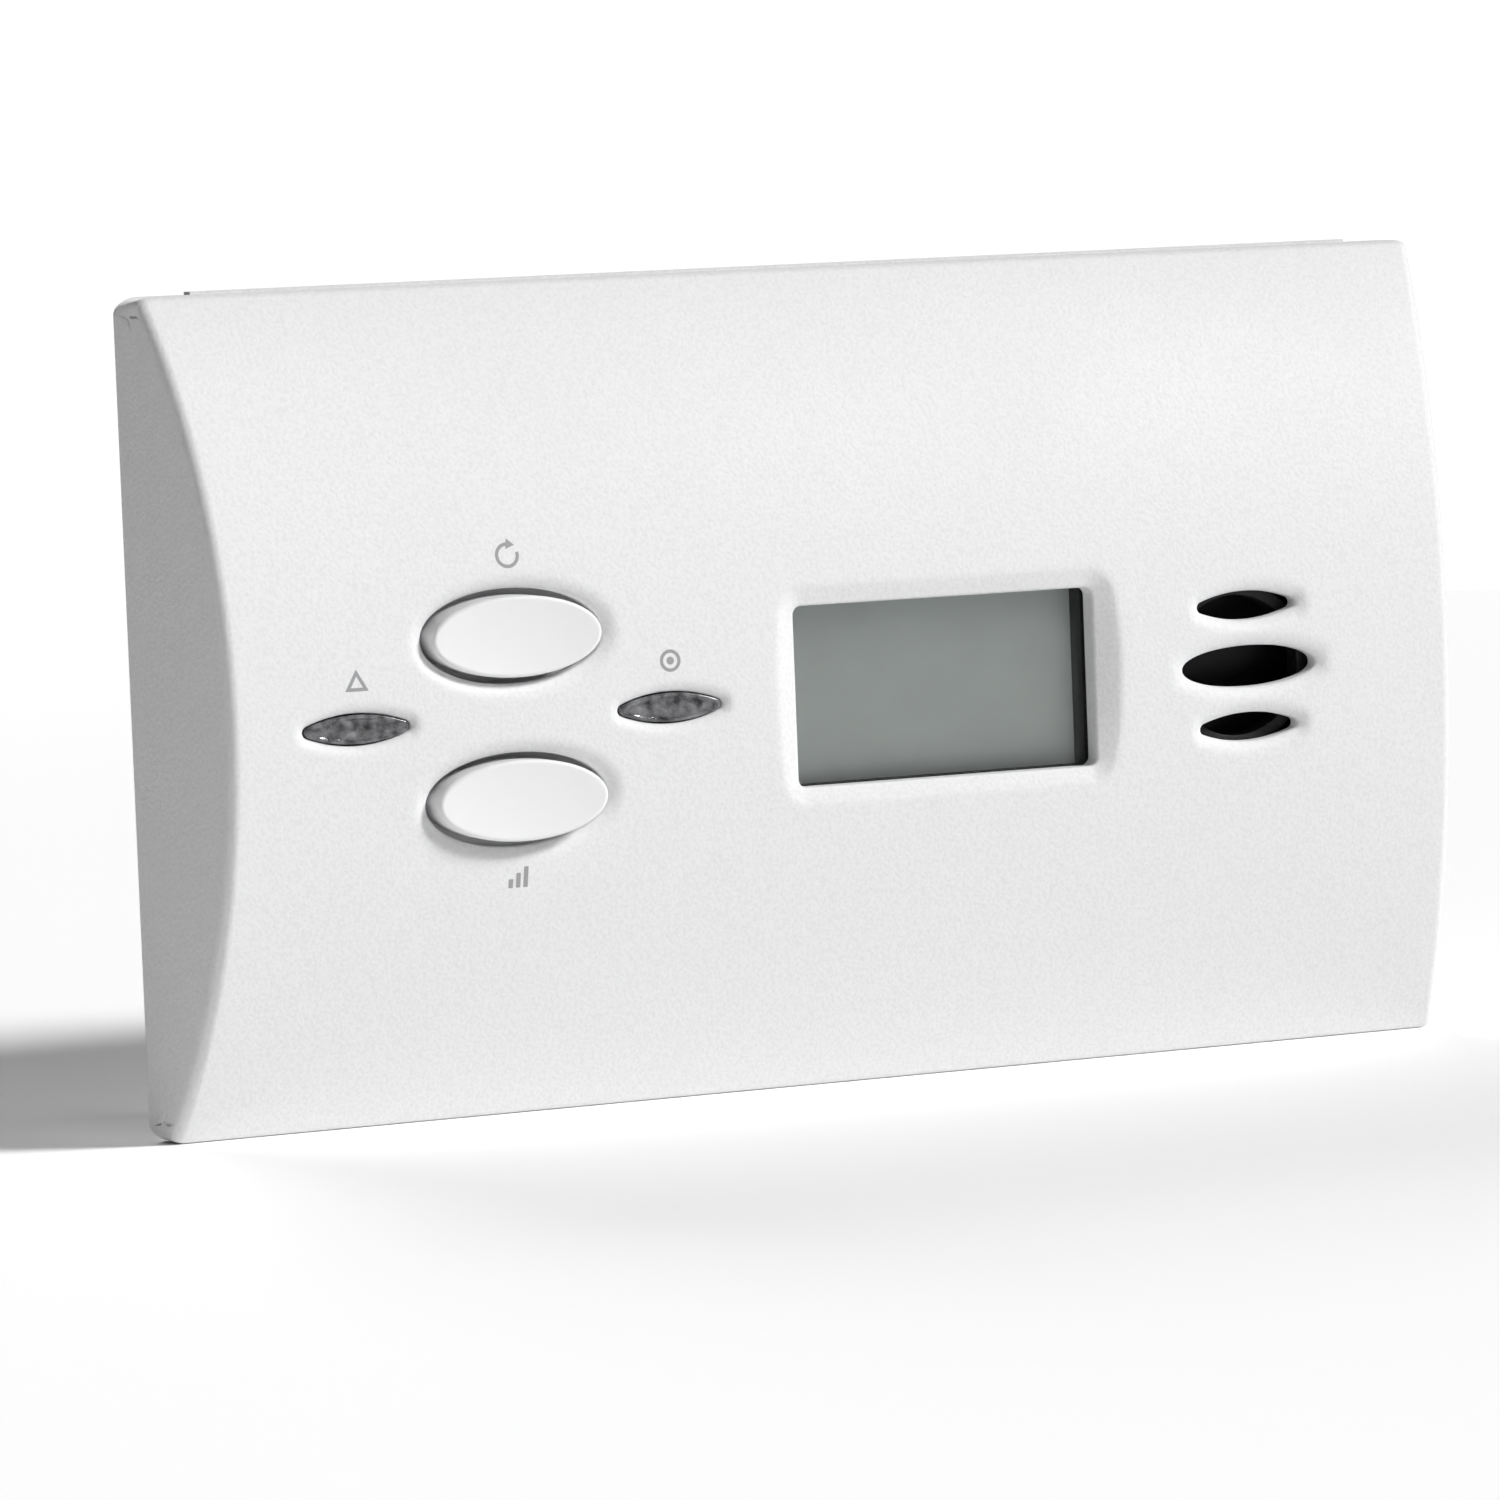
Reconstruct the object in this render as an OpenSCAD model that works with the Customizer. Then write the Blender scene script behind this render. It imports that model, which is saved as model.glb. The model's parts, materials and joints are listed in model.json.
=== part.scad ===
// Battery-powered carbon monoxide alarm with a bowed face, for a wall or a table top.
// Millimetres. X runs across the face, +Z is up and the face looks along -Y.
// The origin is the middle of the footprint, on the surface that the alarm stands on.

/* [Case] */
// Width across the two ends
case_w = 145; // [143:1:152]
// Height of the face
case_h = 84; // [83:0.5:88]
// Depth from the rim plane to the crown of the bowed face
face_d = 16.4; // [16:0.1:18]
// Depth of the face at its top and bottom edges
edge_d = 4; // [3.8:0.1:5]
// Depth of the pod behind the rim plane
pod_d = 22; // [21:0.5:26]
// Distance from each end of the case to the side of the pod
pod_inset = 8; // [7.5:0.5:9]
// Height of the pod
pod_h = 81; // [79:0.5:82]
// Wall thickness of the covers
wall = 2.2; // [2:0.1:2.4]
// Inward slope of the two end faces, in degrees
end_slope = 15; // [10:1:16]
// Corner radius of the face outline
corner_r = 3; // [2.6:0.1:4]

/* [Controls] */
// Height of the centre line of the controls, display and horn
mid_z = 40.9; // [40:0.1:43]
// Position of the two buttons across the face
button_x = -37.7; // [-39:0.1:-36]
// Distance between the button centres
button_pitch = 16.3; // [16:0.1:17]
// Width of a button cap
button_w = 18.2; // [17:0.1:19]
// Height of a button cap
button_h = 8.1; // [7:0.1:8.4]
// Gap between a cap and its hole, all round
button_gap = 0.7; // [0.4:0.1:0.9]
// Height of the caps above the crown of the face
cap_rise = 0.7; // [0.4:0.1:1]
// Travel of a button
button_travel = 0.8; // [0.5:0.1:1]
// Travel of the switch plunger inside
plunger_travel = 0.25; // [0.2:0.05:0.35]
// Positions of the alarm and operate lenses across the face
lens_x = [-54.8, -21.1];
// Width of a lens
lens_w = 11; // [10:0.1:12]
// Height of a lens
lens_h = 2.9; // [2.4:0.1:3.4]

/* [Display] */
// Position of the display across the face
display_x = 10.1; // [8:0.1:11]
// Width of the display opening
display_w = 33.8; // [30:0.1:34]
// Height of the display opening
display_h = 18.4; // [16:0.1:18.6]
// Depth of the flat recess round the display, below the crown of the face
recess_d = 1.4; // [0.8:0.1:1.6]

/* [Horn] */
// Position of the horn across the face
horn_x = 44.2; // [43:0.1:45]
// Outer radius of the horn housing
horn_r = 14; // [13.5:0.5:14]
// Distance between the middle and the outer sound slots
slot_pitch = 6.3; // [5.8:0.1:6.8]

/* [Battery bay] */
// Diameter of an AA cell
cell_d = 14.5; // [14:0.1:14.5]
// Length of an AA cell with its nub
cell_len = 50.5; // [49.5:0.1:50.5]
// Distance between cell centres
cell_pitch = 15.2; // [15:0.1:15.4]
// Width of the battery door
door_w = 64; // [62:0.5:65]
// Height of the door hinge
hinge_z = 15.2; // [15:0.1:16]
// Radius of the hinge pins
pin_r = 1; // [0.8:0.1:1.1]

/* [Wall mount] */
// Distance between the keyholes
keyhole_spacing = 96; // [94:1:98]
// Height of the keyhole head holes
keyhole_z = 58; // [54:1:60]
// Radius of the keyhole head holes
keyhole_r = 4.25; // [4:0.05:4.5]
// Width of the keyhole slots
keyhole_slot_w = 4.4; // [4:0.1:4.6]

/* [Hidden] */
$fn = 64;

// Planes along Y, from the button caps and the crown of the face to the back
total_d = cap_rise + face_d + pod_d;
front_y = cap_rise - total_d / 2;
back_y = total_d / 2;
rim_y = front_y + face_d;
seam_d = 2.8;
seam_y = rim_y - seam_d;
board_t = 1.6;
board_front_y = rim_y - 5.2;
board_back_y = board_front_y + board_t;

// Bowed face: a circular arc over the height
sagitta = face_d - edge_d;
bow_r = (pow(case_h / 2, 2) + pow(sagitta, 2)) / (2 * sagitta);
cover_lip = 1.6;
top_lip_w = 130;
top_lip_d = 1.8;
top_lip_rise = 0.3;
eps = 0.5;

// Screws
case_screw_x = case_w / 2 - 5.2;
case_screw_z = [14, case_h - 14];
board_screw_x = 57;
board_screw_z = [16, case_h - 16];

// Buttons and switches
button_z = [mid_z + button_pitch / 2, mid_z - button_pitch / 2];
cap_front_y = front_y - cap_rise;
flange_y = front_y + 3.9;
flange_t = 1.2;
flange_grow = 3.6;
switch_size = 6;
switch_h = 3.5;
plunger_r = 1.75;
plunger_front_y = board_front_y - switch_h - 1.5;
stem_end_y = plunger_front_y - (button_travel - plunger_travel);

// Display stack
pane_w = 37;
pane_h = 21.8;
pane_t = 0.8;
lcd_t = 2.2;
pane_y = front_y + 3.4;
pane_back_y = pane_y + pane_t;
lcd_y = front_y + 6.6;
lcd_frame_y = front_y + 3.9;
recess_slope = 2;
lcd_back_y = lcd_y + lcd_t;

// Horn
horn_front_y = front_y + 4;
horn_port_r = 7.3;
horn_disc_y = board_front_y - 2.6;

// Pod and battery bay
pod_w = case_w - 2 * pod_inset;
pod_floor = 3;
door_t = 2;
door_gap = 0.3;
door_inner_y = back_y - door_t;
hinge_r = 1.6;
hinge_y = back_y - hinge_r;
hinge_clear = 0.6;
door_top_z = hinge_z + 47.5;
bay_w = 59;
bay_floor_y = rim_y + 3.8;
bay_floor_t = 2;
bay_wall_t = 3.6;
bay_z = [hinge_z - 0.8, hinge_z + 46];
cell_y = bay_floor_y + 0.9 + cell_d / 2;
cell_z = [for (i = [0:2]) hinge_z + 7.2 + i * cell_pitch];
contact_t = 0.4;
contact_x = bay_w / 2 - contact_t;
bump_h = 1;
nub_h = 1.3;
nub_gap = 0.1;
cell_tip_x = contact_x - bump_h - nub_gap;
spring_len = 2 * contact_x - bump_h - nub_gap - cell_len - 0.1;
tab_w = 7.6;
tab_h = 2.8;
scoop_w = 16;
scoop_h = 6;

// Sensor
sensor_x = -49;
sensor_r = 7.1;
sensor_y = board_back_y + 0.6 + sensor_r;
sensor_z = [16, 58];
sensor_cap_h = 8;
strap_z = [22, 50];
strap_w = 4;
strap_t = 0.35;

// Electronics, as X and Z on the board
board_w = 120;
board_h = case_h - 20;
horn_wall = 1.4;
disc_t = 0.3;
chip_at = [2, 30];
chip_size = 10;
chip_t = 1.4;
lead_pitch = 0.8;
coil_at = [50, 24];
coil_r = 4.5;
coil_h = 8;
capacitor_at = [[44, 62], [55, 62]];
transistor_at = [42, 34];
transistor_h = 4.6;
crystal_at = [-14, 30];
crystal_h = 3.6;
part_rows = [48, 57];
part_pitch = 7;

// ---- outlines ----

// Rectangle with round corners, centred
module round_rect(w, h, r) {
    square([w - 2 * r, h], center = true);
    square([w, h - 2 * r], center = true);
    for (x = [-1, 1], z = [-1, 1])
        translate([x * (w / 2 - r), z * (h / 2 - r)]) circle(r);
}

// Ellipse, centred
module oval(w, h) {
    polygon([for (i = [0:95]) [w / 2 * cos(i * 3.75), h / 2 * sin(i * 3.75)]]);
}

// Pointed eye shape, two equal arcs, centred
module eye(w, h) {
    r = (w * w + h * h) / (4 * h);
    intersection() {
        translate([0, r - h / 2]) circle(r, $fn = 128);
        translate([0, h / 2 - r]) circle(r, $fn = 128);
    }
}

// Extrudes an XZ outline from y0 to y1
module along_y(y0, y1) {
    translate([0, y1, 0]) rotate([90, 0, 0]) linear_extrude(y1 - y0) children();
}

// Extrudes a YZ outline from x0 to x1
module along_x(x0, x1) {
    translate([x0, 0, 0]) rotate([90, 0, 90]) linear_extrude(x1 - x0) children();
}

// Round bar along Y
module bar_y(r, y0, y1) {
    translate([0, y1, 0]) rotate([90, 0, 0]) cylinder(r = r, h = y1 - y0);
}

// Round bar along X
module bar_x(r, x0, x1) {
    translate([x0, 0, 0]) rotate([0, 90, 0]) cylinder(r = r, h = x1 - x0);
}

// Block between two corners
module block(low, high) {
    translate(low) cube(high - low);
}

// ---- case ----

// Solid of the bowed face, inset by t and reaching back to end_y
module face_block(t, end_y) {
    half = case_w / 2 - t / cos(end_slope);
    slope = tan(end_slope);
    reach = end_y - rim_y;
    intersection() {
        translate([0, front_y + bow_r, case_h / 2]) rotate([0, 90, 0])
            cylinder(r = bow_r - t, h = case_w + 4, center = true, $fn = 200);
        linear_extrude(case_h) polygon([
            [-half - reach * slope, end_y], [half + reach * slope, end_y],
            [half - (face_d + 1) * slope, front_y - 1],
            [-half + (face_d + 1) * slope, front_y - 1]]);
        along_y(front_y - 1, end_y) translate([0, case_h / 2])
            round_rect(case_w + 1 - 2 * t, case_h - 2 * t, corner_r - t * 0.9);
    }
}

// Room in the face solid that belongs to the rear cover's rim
module rim_zone() {
    half_h = case_h / 2 - cover_lip;
    along_x(-case_w, case_w) translate([seam_y + seam_d, case_h / 2])
        round_rect(2 * seam_d, 2 * half_h, 2);
    block([-top_lip_w / 2, rim_y - top_lip_d, case_h - 2 * cover_lip],
        [top_lip_w / 2, rim_y + seam_d, case_h + 1]);
}

// Places children at the four case screws
module at_case_screws() {
    for (x = [-1, 1], z = case_screw_z)
        translate([x * case_screw_x, 0, z]) children();
}

// Places children at the four board screws
module at_board_screws() {
    for (x = [-1, 1], z = board_screw_z)
        translate([x * board_screw_x, 0, z]) children();
}

// Ribs, bosses and collars on the inside of the front cover
module front_ribs() {
    at_case_screws() bar_y(2.7, front_y, seam_y);
    at_board_screws() bar_y(3, front_y, board_front_y);
    for (z = button_z) along_y(front_y, flange_y + 3.4) translate([button_x, z])
        difference() {
            oval(button_w + flange_grow + 3, button_h + flange_grow + 3);
            oval(button_w + flange_grow + 0.8, button_h + flange_grow + 0.8);
        }
    along_y(front_y, pane_y) translate([display_x, mid_z])
        square([pane_w, pane_h], center = true);
}

// Shallow recess with a flat floor and sloping sides round the display
module display_recess() {
    grow = 2 * recess_slope * (recess_d + 1);
    translate([display_x, 0, mid_z]) hull() {
        along_y(front_y, front_y + recess_d) square([display_w, display_h], center = true);
        along_y(front_y - 2, front_y - 1)
            square([display_w + grow, display_h + grow], center = true);
    }
}

// Openings through the bowed face
module face_openings() {
    y0 = front_y - 1;
    y1 = front_y + 6;
    for (z = button_z) along_y(y0, y1) translate([button_x, z])
        oval(button_w + 2 * button_gap, button_h + 2 * button_gap);
    for (x = lens_x) along_y(y0, y1) translate([x, mid_z])
        eye(lens_w + 0.4, lens_h + 0.3);
    along_y(y0, y1) translate([display_x, mid_z]) round_rect(display_w, display_h, 0.6);
    display_recess();
    for (i = [-1, 1]) along_y(y0, y1) translate([horn_x, mid_z + i * slot_pitch])
        eye(10.8, 2.8);
    along_y(y0, y1) translate([horn_x, mid_z]) oval(15, 4.3);
}

module front_cover() {
    color("whitesmoke") difference() {
        union() {
            difference() {
                face_block(0, rim_y);
                face_block(wall, rim_y + 1);
                rim_zone();
            }
            intersection() {
                face_block(wall / 2, rim_y);
                front_ribs();
            }
        }
        face_openings();
        at_case_screws() bar_y(1.25, seam_y - 4.5, seam_y + 1);
        at_board_screws() bar_y(1.15, board_front_y - 3.4, board_front_y + 1);
    }
}

// Rear vents, a row of upright slots on each side of the battery door
module vents() {
    for (side = [-1, 1], i = [-2:2])
        along_y(back_y - wall - 1, back_y + 1)
            translate([side * (keyhole_spacing / 2 + 0.5) + i * 4, 28])
                round_rect(1.8, 18, 0.8);
}

// Places children at the two keyholes
module at_keyholes() {
    for (side = [-1, 1]) translate([side * keyhole_spacing / 2, 0, 0]) children();
}

// Keyhole outline: head hole with a slot above it
module keyhole() {
    circle(keyhole_r);
    translate([-keyhole_slot_w / 2, 0]) square([keyhole_slot_w, 7.5]);
    translate([0, 7.5]) circle(keyhole_slot_w / 2);
}

// Closed pocket behind a keyhole, grown by t
module keyhole_pocket(t) {
    block([-6.5 - t, back_y - wall - 4.5 - t, keyhole_z - 6.5 - t],
        [6.5 + t, back_y - wall + t / 2, keyhole_z + 11.5 + t]);
}

// Walls of the battery bay, with slots for the tails of the two end contacts
module bay_box() {
    x1 = bay_w / 2 + bay_wall_t;
    tail_z = [cell_z[0], cell_z[2]];
    difference() {
        block([-x1, bay_floor_y - bay_floor_t, bay_z[0] - bay_wall_t],
            [x1, back_y - wall / 2, bay_z[1] + bay_wall_t]);
        block([-bay_w / 2, bay_floor_y, bay_z[0]], [bay_w / 2, back_y, bay_z[1]]);
        for (i = [0, 1]) translate([(2 * i - 1) * contact_x, bay_floor_y, tail_z[i]])
            block([-1.2, -bay_floor_t - 1, -2.5], [1.2, 1, 2.5]);
    }
}

// Two cradle ribs across the floor of the bay
module cradles() {
    for (x = [-15, 15]) difference() {
        block([x - 1.5, bay_floor_y - eps, bay_z[0] - eps],
            [x + 1.5, bay_floor_y + 4.2, bay_z[1] + eps]);
        for (z = cell_z) translate([0, cell_y, z]) bar_x(cell_d / 2 + 0.2, x - 2, x + 2);
    }
}

// Blocks behind the finger scoop and round the two hinge sockets
module door_blocks() {
    half = door_w / 2 + door_gap;
    block([-scoop_w / 2 - 2, back_y - wall - 3, bay_z[1] + 1],
        [scoop_w / 2 + 2, back_y - wall / 2, door_top_z + scoop_h + 2]);
    for (side = [-1, 1]) translate([side * (half + 2), hinge_y, hinge_z])
        block([-2, -2.8, -3], [2, hinge_r - wall / 2, 3]);
}

// Opening for the door, its hinge barrel, pins and finger scoop
module door_cuts() {
    half = door_w / 2 + door_gap;
    block([-half, back_y - wall, hinge_z], [half, back_y + 1, door_top_z + door_gap]);
    block([-half, hinge_y, hinge_z - hinge_r - hinge_clear], [half, back_y + 1, hinge_z + eps]);
    translate([0, hinge_y, hinge_z]) bar_x(hinge_r + hinge_clear, -half, half);
    translate([0, hinge_y, hinge_z]) bar_x(pin_r + 0.05, -half - 2.7, half + 2.7);
    block([-scoop_w / 2, back_y - 3.2, door_top_z], [scoop_w / 2, back_y + 1, door_top_z + scoop_h]);
}

// Rim plate, top lip and hollow pod
module rear_shell() {
    difference() {
        union() {
            intersection() {
                face_block(0, rim_y);
                rim_zone();
            }
            block([-top_lip_w / 2, rim_y - top_lip_d, case_h - cover_lip - eps],
                [top_lip_w / 2, rim_y, case_h + top_lip_rise]);
            along_y(rim_y, back_y) translate([0, pod_h / 2]) round_rect(pod_w, pod_h, 3);
        }
        block([-pod_w / 2 + wall, seam_y - 1, pod_floor],
            [pod_w / 2 - wall, back_y - wall, pod_h - wall]);
    }
}

module rear_cover() {
    color("whitesmoke") difference() {
        union() {
            rear_shell();
            bay_box();
            cradles();
            door_blocks();
            at_keyholes() keyhole_pocket(1.2);
        }
        door_cuts();
        at_keyholes() {
            keyhole_pocket(0);
            along_y(back_y - wall - 1, back_y + 1) translate([0, keyhole_z]) keyhole();
        }
        vents();
        at_case_screws() bar_y(1.45, seam_y - 1, rim_y + 1);
        at_case_screws() bar_y(2.6, rim_y - 1.6, rim_y + 1);
    }
}

module battery_door() {
    color("white") {
        difference() {
            union() {
                block([-door_w / 2, door_inner_y, hinge_z], [door_w / 2, back_y, door_top_z]);
                translate([0, hinge_y, hinge_z]) bar_x(hinge_r, -door_w / 2, door_w / 2);
                translate([0, hinge_y, hinge_z])
                    bar_x(pin_r, -door_w / 2 - 2.6, door_w / 2 + 2.6);
                block([-tab_w, door_inner_y, door_top_z - 3],
                    [tab_w, back_y - 0.6, door_top_z + tab_h]);
                for (x = [-20, 20])
                    block([x - 0.8, door_inner_y - 0.5, hinge_z + 6],
                        [x + 0.8, door_inner_y + eps, door_top_z - 6]);
            }
            along_y(back_y - 0.2, back_y + 1) translate([0, (hinge_z + door_top_z) / 2])
                square([46, 28], center = true);
            for (i = [0:2])
                block([-6, back_y - 0.4, door_top_z - 4.5 + i * 1.4],
                    [6, back_y + 1, door_top_z - 4 + i * 1.4]);
        }
    }
}

module rating_label() {
    color("silver") along_y(back_y - 0.2, back_y - 0.05)
        translate([0, (hinge_z + door_top_z) / 2]) round_rect(45.4, 27.4, 1);
}

module case_screws() {
    color("dimgray") at_case_screws() difference() {
        union() {
            bar_y(2.4, rim_y - 1.6, rim_y - 0.2);
            bar_y(1.2, seam_y - 4.2, rim_y - 1);
        }
        cross_slot(rim_y - 0.2);
    }
}

module board_screws() {
    color("silver") at_board_screws() difference() {
        union() {
            bar_y(2.2, board_back_y, board_back_y + 1.3);
            bar_y(1.1, board_front_y - 3.2, board_back_y + 0.5);
        }
        cross_slot(board_back_y + 1.3);
    }
}

// Cross recess in a screw head whose top is at y
module cross_slot(y) {
    block([-1.3, y - 0.8, -0.3], [1.3, y + 1, 0.3]);
    block([-0.3, y - 0.8, -1.3], [0.3, y + 1, 1.3]);
}

// ---- buttons, switches and lenses ----

// Button cap with its flange and stem, centred on z
module button(z) {
    translate([button_x, 0, z]) {
        along_y(cap_front_y, flange_y + eps) oval(button_w, button_h);
        along_y(flange_y, flange_y + flange_t) oval(button_w + flange_grow, button_h + flange_grow);
        bar_y(2.2, flange_y + flange_t - eps, stem_end_y);
    }
}

module switch_body(z) {
    translate([button_x, 0, z]) difference() {
        along_y(board_front_y - switch_h, board_front_y) square(switch_size, center = true);
        bar_y(plunger_r + 0.15, board_front_y - switch_h - 1, board_front_y - 1.6);
    }
}

module switch_plunger(z) {
    translate([button_x, 0, z]) bar_y(plunger_r, plunger_front_y, board_front_y - 2);
}

module test_button() { color("white") button(button_z[0]); }
module peak_button() { color("white") button(button_z[1]); }
module test_switch_body() { color("dimgray") switch_body(button_z[0]); }
module peak_switch_body() { color("dimgray") switch_body(button_z[1]); }
module test_switch_plunger() { color("black") switch_plunger(button_z[0]); }
module peak_switch_plunger() { color("black") switch_plunger(button_z[1]); }

// Light pipe: an eye-shaped nose in the cover and a flange behind it
module lens(x) {
    translate([x, 0, mid_z]) {
        along_y(front_y + 0.3, front_y + 4.6) eye(lens_w, lens_h);
        along_y(front_y + wall + 0.2, front_y + wall + 1.2) round_rect(lens_w + 2, lens_h + 2.4, 1);
    }
}

// Small round light-emitting diode standing on the board
module led(x) {
    dome_y = board_front_y - 4.4;
    translate([x, 0, mid_z]) {
        bar_y(1.9, board_front_y - 1, board_front_y);
        bar_y(1.5, dome_y, board_front_y - 0.5);
        translate([0, dome_y, 0]) sphere(1.5);
    }
}

module alarm_lens() { color("lightgray") lens(lens_x[0]); }
module operate_lens() { color("lightgray") lens(lens_x[1]); }
module alarm_led() { color("tomato") led(lens_x[0]); }
module operate_led() { color("lightgreen") led(lens_x[1]); }

// ---- display ----

module display_window() {
    color("lightblue") along_y(pane_y, pane_back_y) translate([display_x, mid_z])
        square([pane_w, pane_h], center = true);
}

module lcd_panel() {
    color("darkgray") along_y(lcd_y, lcd_back_y) translate([display_x, mid_z])
        square([pane_w, pane_h], center = true);
}

module lcd_frame() {
    color("black") translate([display_x, 0, mid_z]) difference() {
        along_y(lcd_frame_y, board_front_y) square([pane_w + 2, pane_h + 2], center = true);
        along_y(lcd_frame_y - 1, pane_back_y) square([pane_w + 0.2, pane_h + 0.2], center = true);
        along_y(pane_back_y - eps, lcd_y + eps) square([display_w, display_h], center = true);
        along_y(lcd_y, board_front_y + 1) square([pane_w + 0.2, pane_h + 0.2], center = true);
    }
}

module lcd_contact_strip() {
    color("pink") translate([display_x, 0, mid_z - pane_h / 2 + 1.2])
        block([-16, lcd_back_y, 0], [16, board_front_y, 2]);
}

// ---- board and its components ----

module circuit_board() {
    color("darkgreen") difference() {
        along_y(board_front_y, board_back_y) translate([0, case_h / 2])
            round_rect(board_w, board_h, 2);
        at_board_screws() bar_y(1.3, board_front_y - 1, board_back_y + 1);
    }
}

module horn_housing() {
    color("black") translate([horn_x, 0, mid_z]) difference() {
        union() {
            bar_y(horn_r, horn_front_y, board_front_y);
            bar_y(horn_port_r + 1.3, horn_front_y - 1, horn_front_y + eps);
        }
        bar_y(horn_port_r, horn_front_y - 2, horn_front_y + 2);
        bar_y(horn_r - 2.6, horn_front_y + 1.2, board_front_y + 1);
        bar_y(horn_r - horn_wall, horn_disc_y, board_front_y + 1);
    }
}

module horn_disc() {
    color("darkslategray") translate([horn_x, 0, mid_z])
        bar_y(horn_r - horn_wall - 0.2, horn_disc_y, horn_disc_y + disc_t);
}

module horn_ceramic() {
    color("ivory") translate([horn_x, 0, mid_z])
        bar_y(horn_r - 5.5, horn_disc_y + disc_t, horn_disc_y + 2 * disc_t);
}

module co_sensor_can() {
    color("silver") translate([sensor_x, sensor_y, sensor_z[0]])
        cylinder(r = sensor_r, h = sensor_z[1] - sensor_z[0]);
}

module co_sensor_cap() {
    color("dimgray") translate([sensor_x, sensor_y, sensor_z[1]]) difference() {
        cylinder(r = sensor_r + 0.4, h = sensor_cap_h);
        translate([0, 0, sensor_cap_h - 3]) cylinder(r = 4.5, h = 4);
        for (a = [0:60:300]) rotate([0, 0, a]) translate([2.6, 0, 1]) cylinder(r = 0.6, h = 8);
    }
}

// Two welded straps that hold the can on the board
module co_sensor_straps() {
    color("lightgray") for (z = strap_z) translate([sensor_x, sensor_y, z]) difference() {
        union() {
            cylinder(r = sensor_r + strap_t, h = strap_w);
            block([-2, board_back_y - sensor_y, 0], [2, -sensor_r + 0.5, strap_w]);
        }
        translate([0, 0, -1]) cylinder(r = sensor_r + 0.02, h = strap_w + 2);
    }
}

module microcontroller() {
    chip_y = board_back_y + 0.2;
    color("black") translate([chip_at[0], 0, chip_at[1]]) {
        along_y(chip_y, chip_y + chip_t) square(chip_size, center = true);
        for (a = [0:90:270], i = [-5:5]) rotate([0, a, 0]) translate([i * lead_pitch, 0, 0])
            block([-0.18, board_back_y, chip_size / 2 - 0.2], [0.18, chip_y + 0.5, chip_size / 2 + 1]);
    }
}

module horn_coil() {
    color("darkslategray") translate([coil_at[0], 0, coil_at[1]]) {
        bar_y(coil_r, board_back_y, board_back_y + 1);
        bar_y(coil_r - 0.9, board_back_y + 0.5, board_back_y + coil_h - 0.5);
        bar_y(coil_r, board_back_y + coil_h - 1, board_back_y + coil_h);
    }
}

// Can capacitor standing on the back of the board
module capacitor(at, r, h) {
    translate([at[0], 0, at[1]]) difference() {
        bar_y(r, board_back_y, board_back_y + h);
        for (a = [0, 60, 120]) rotate([0, a, 0])
            block([-r * 0.7, board_back_y + h - 0.3, -0.15], [r * 0.7, board_back_y + h + 1, 0.15]);
    }
}

module capacitor_large() { color("midnightblue") capacitor(capacitor_at[0], 4, 10); }
module capacitor_small() { color("midnightblue") capacitor(capacitor_at[1], 2.5, 7); }

module driver_transistor() {
    color("black") translate([transistor_at[0], 0, transistor_at[1]]) intersection() {
        bar_y(2.4, board_back_y, board_back_y + transistor_h);
        block([-3, board_back_y, -1.3], [3, board_back_y + transistor_h, 3]);
    }
}

module crystal() {
    color("silver") along_y(board_back_y, board_back_y + crystal_h) translate(crystal_at)
        round_rect(10.5, 4.2, 2.05);
}

// Surface-mount resistors and capacitors in two rows on the back of the board
module chip_components() {
    color("tan") for (z = part_rows, i = [0:7]) translate([-24 + i * part_pitch, 0, z])
        block([-1, board_back_y, -0.6], [1, board_back_y + 0.6, 0.6]);
}

// ---- battery bay ----

// AA cell with its nub towards side (1 is +X), centred on z
module cell(z, side) {
    translate([0, cell_y, z]) mirror([side > 0 ? 0 : 1, 0, 0]) {
        bar_x(cell_d / 2, cell_tip_x - cell_len, cell_tip_x - nub_h);
        bar_x(2.7, cell_tip_x - nub_h - eps, cell_tip_x);
    }
}

module battery_bottom() { color("gray") cell(cell_z[0], 1); }
module battery_middle() { color("gray") cell(cell_z[1], -1); }
module battery_top() { color("gray") cell(cell_z[2], 1); }

// Closed tube over rings of eight points each, numbered 0 to last
module tube_skin(points, last) {
    sides = [for (i = [0:last - 1], k = [0:7])
        [i * 8 + k, i * 8 + (k + 1) % 8, (i + 1) * 8 + (k + 1) % 8, (i + 1) * 8 + k]];
    start_cap = [[for (k = [7:-1:0]) k]];
    end_cap = [[for (k = [0:7]) last * 8 + k]];
    polyhedron(points, concat(start_cap, sides, end_cap));
}

// Ring of the conical spring at turn angle a: a small octagon round the coil line
function spring_ring(a, turns) =
    let (t = a / (360 * turns), coil_r = 4.4 - 1.5 * t, wire_r = 0.4)
    [for (k = [0:7]) let (b = k * 45)
        [wire_r + t * (spring_len - 2 * wire_r) + wire_r * sin(b),
         (coil_r + wire_r * cos(b)) * cos(a),
         (coil_r + wire_r * cos(b)) * sin(a)]];

// Conical battery spring, wide end on the plane x = 0
module coil_spring() {
    turns = 4;
    rings = 64;
    points = [for (i = [0:rings]) each spring_ring(i * 360 * turns / rings, turns)];
    tube_skin(points, rings);
}

// Spring at the end of a cell whose nub points towards side
module battery_spring(z, side) {
    color("silver") translate([0, cell_y, z]) mirror([side > 0 ? 0 : 1, 0, 0])
        translate([-contact_x + 0.05, 0, 0]) coil_spring();
}

module battery_spring_bottom() { battery_spring(cell_z[0], 1); }
module battery_spring_middle() { battery_spring(cell_z[1], -1); }
module battery_spring_top() { battery_spring(cell_z[2], 1); }

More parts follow.
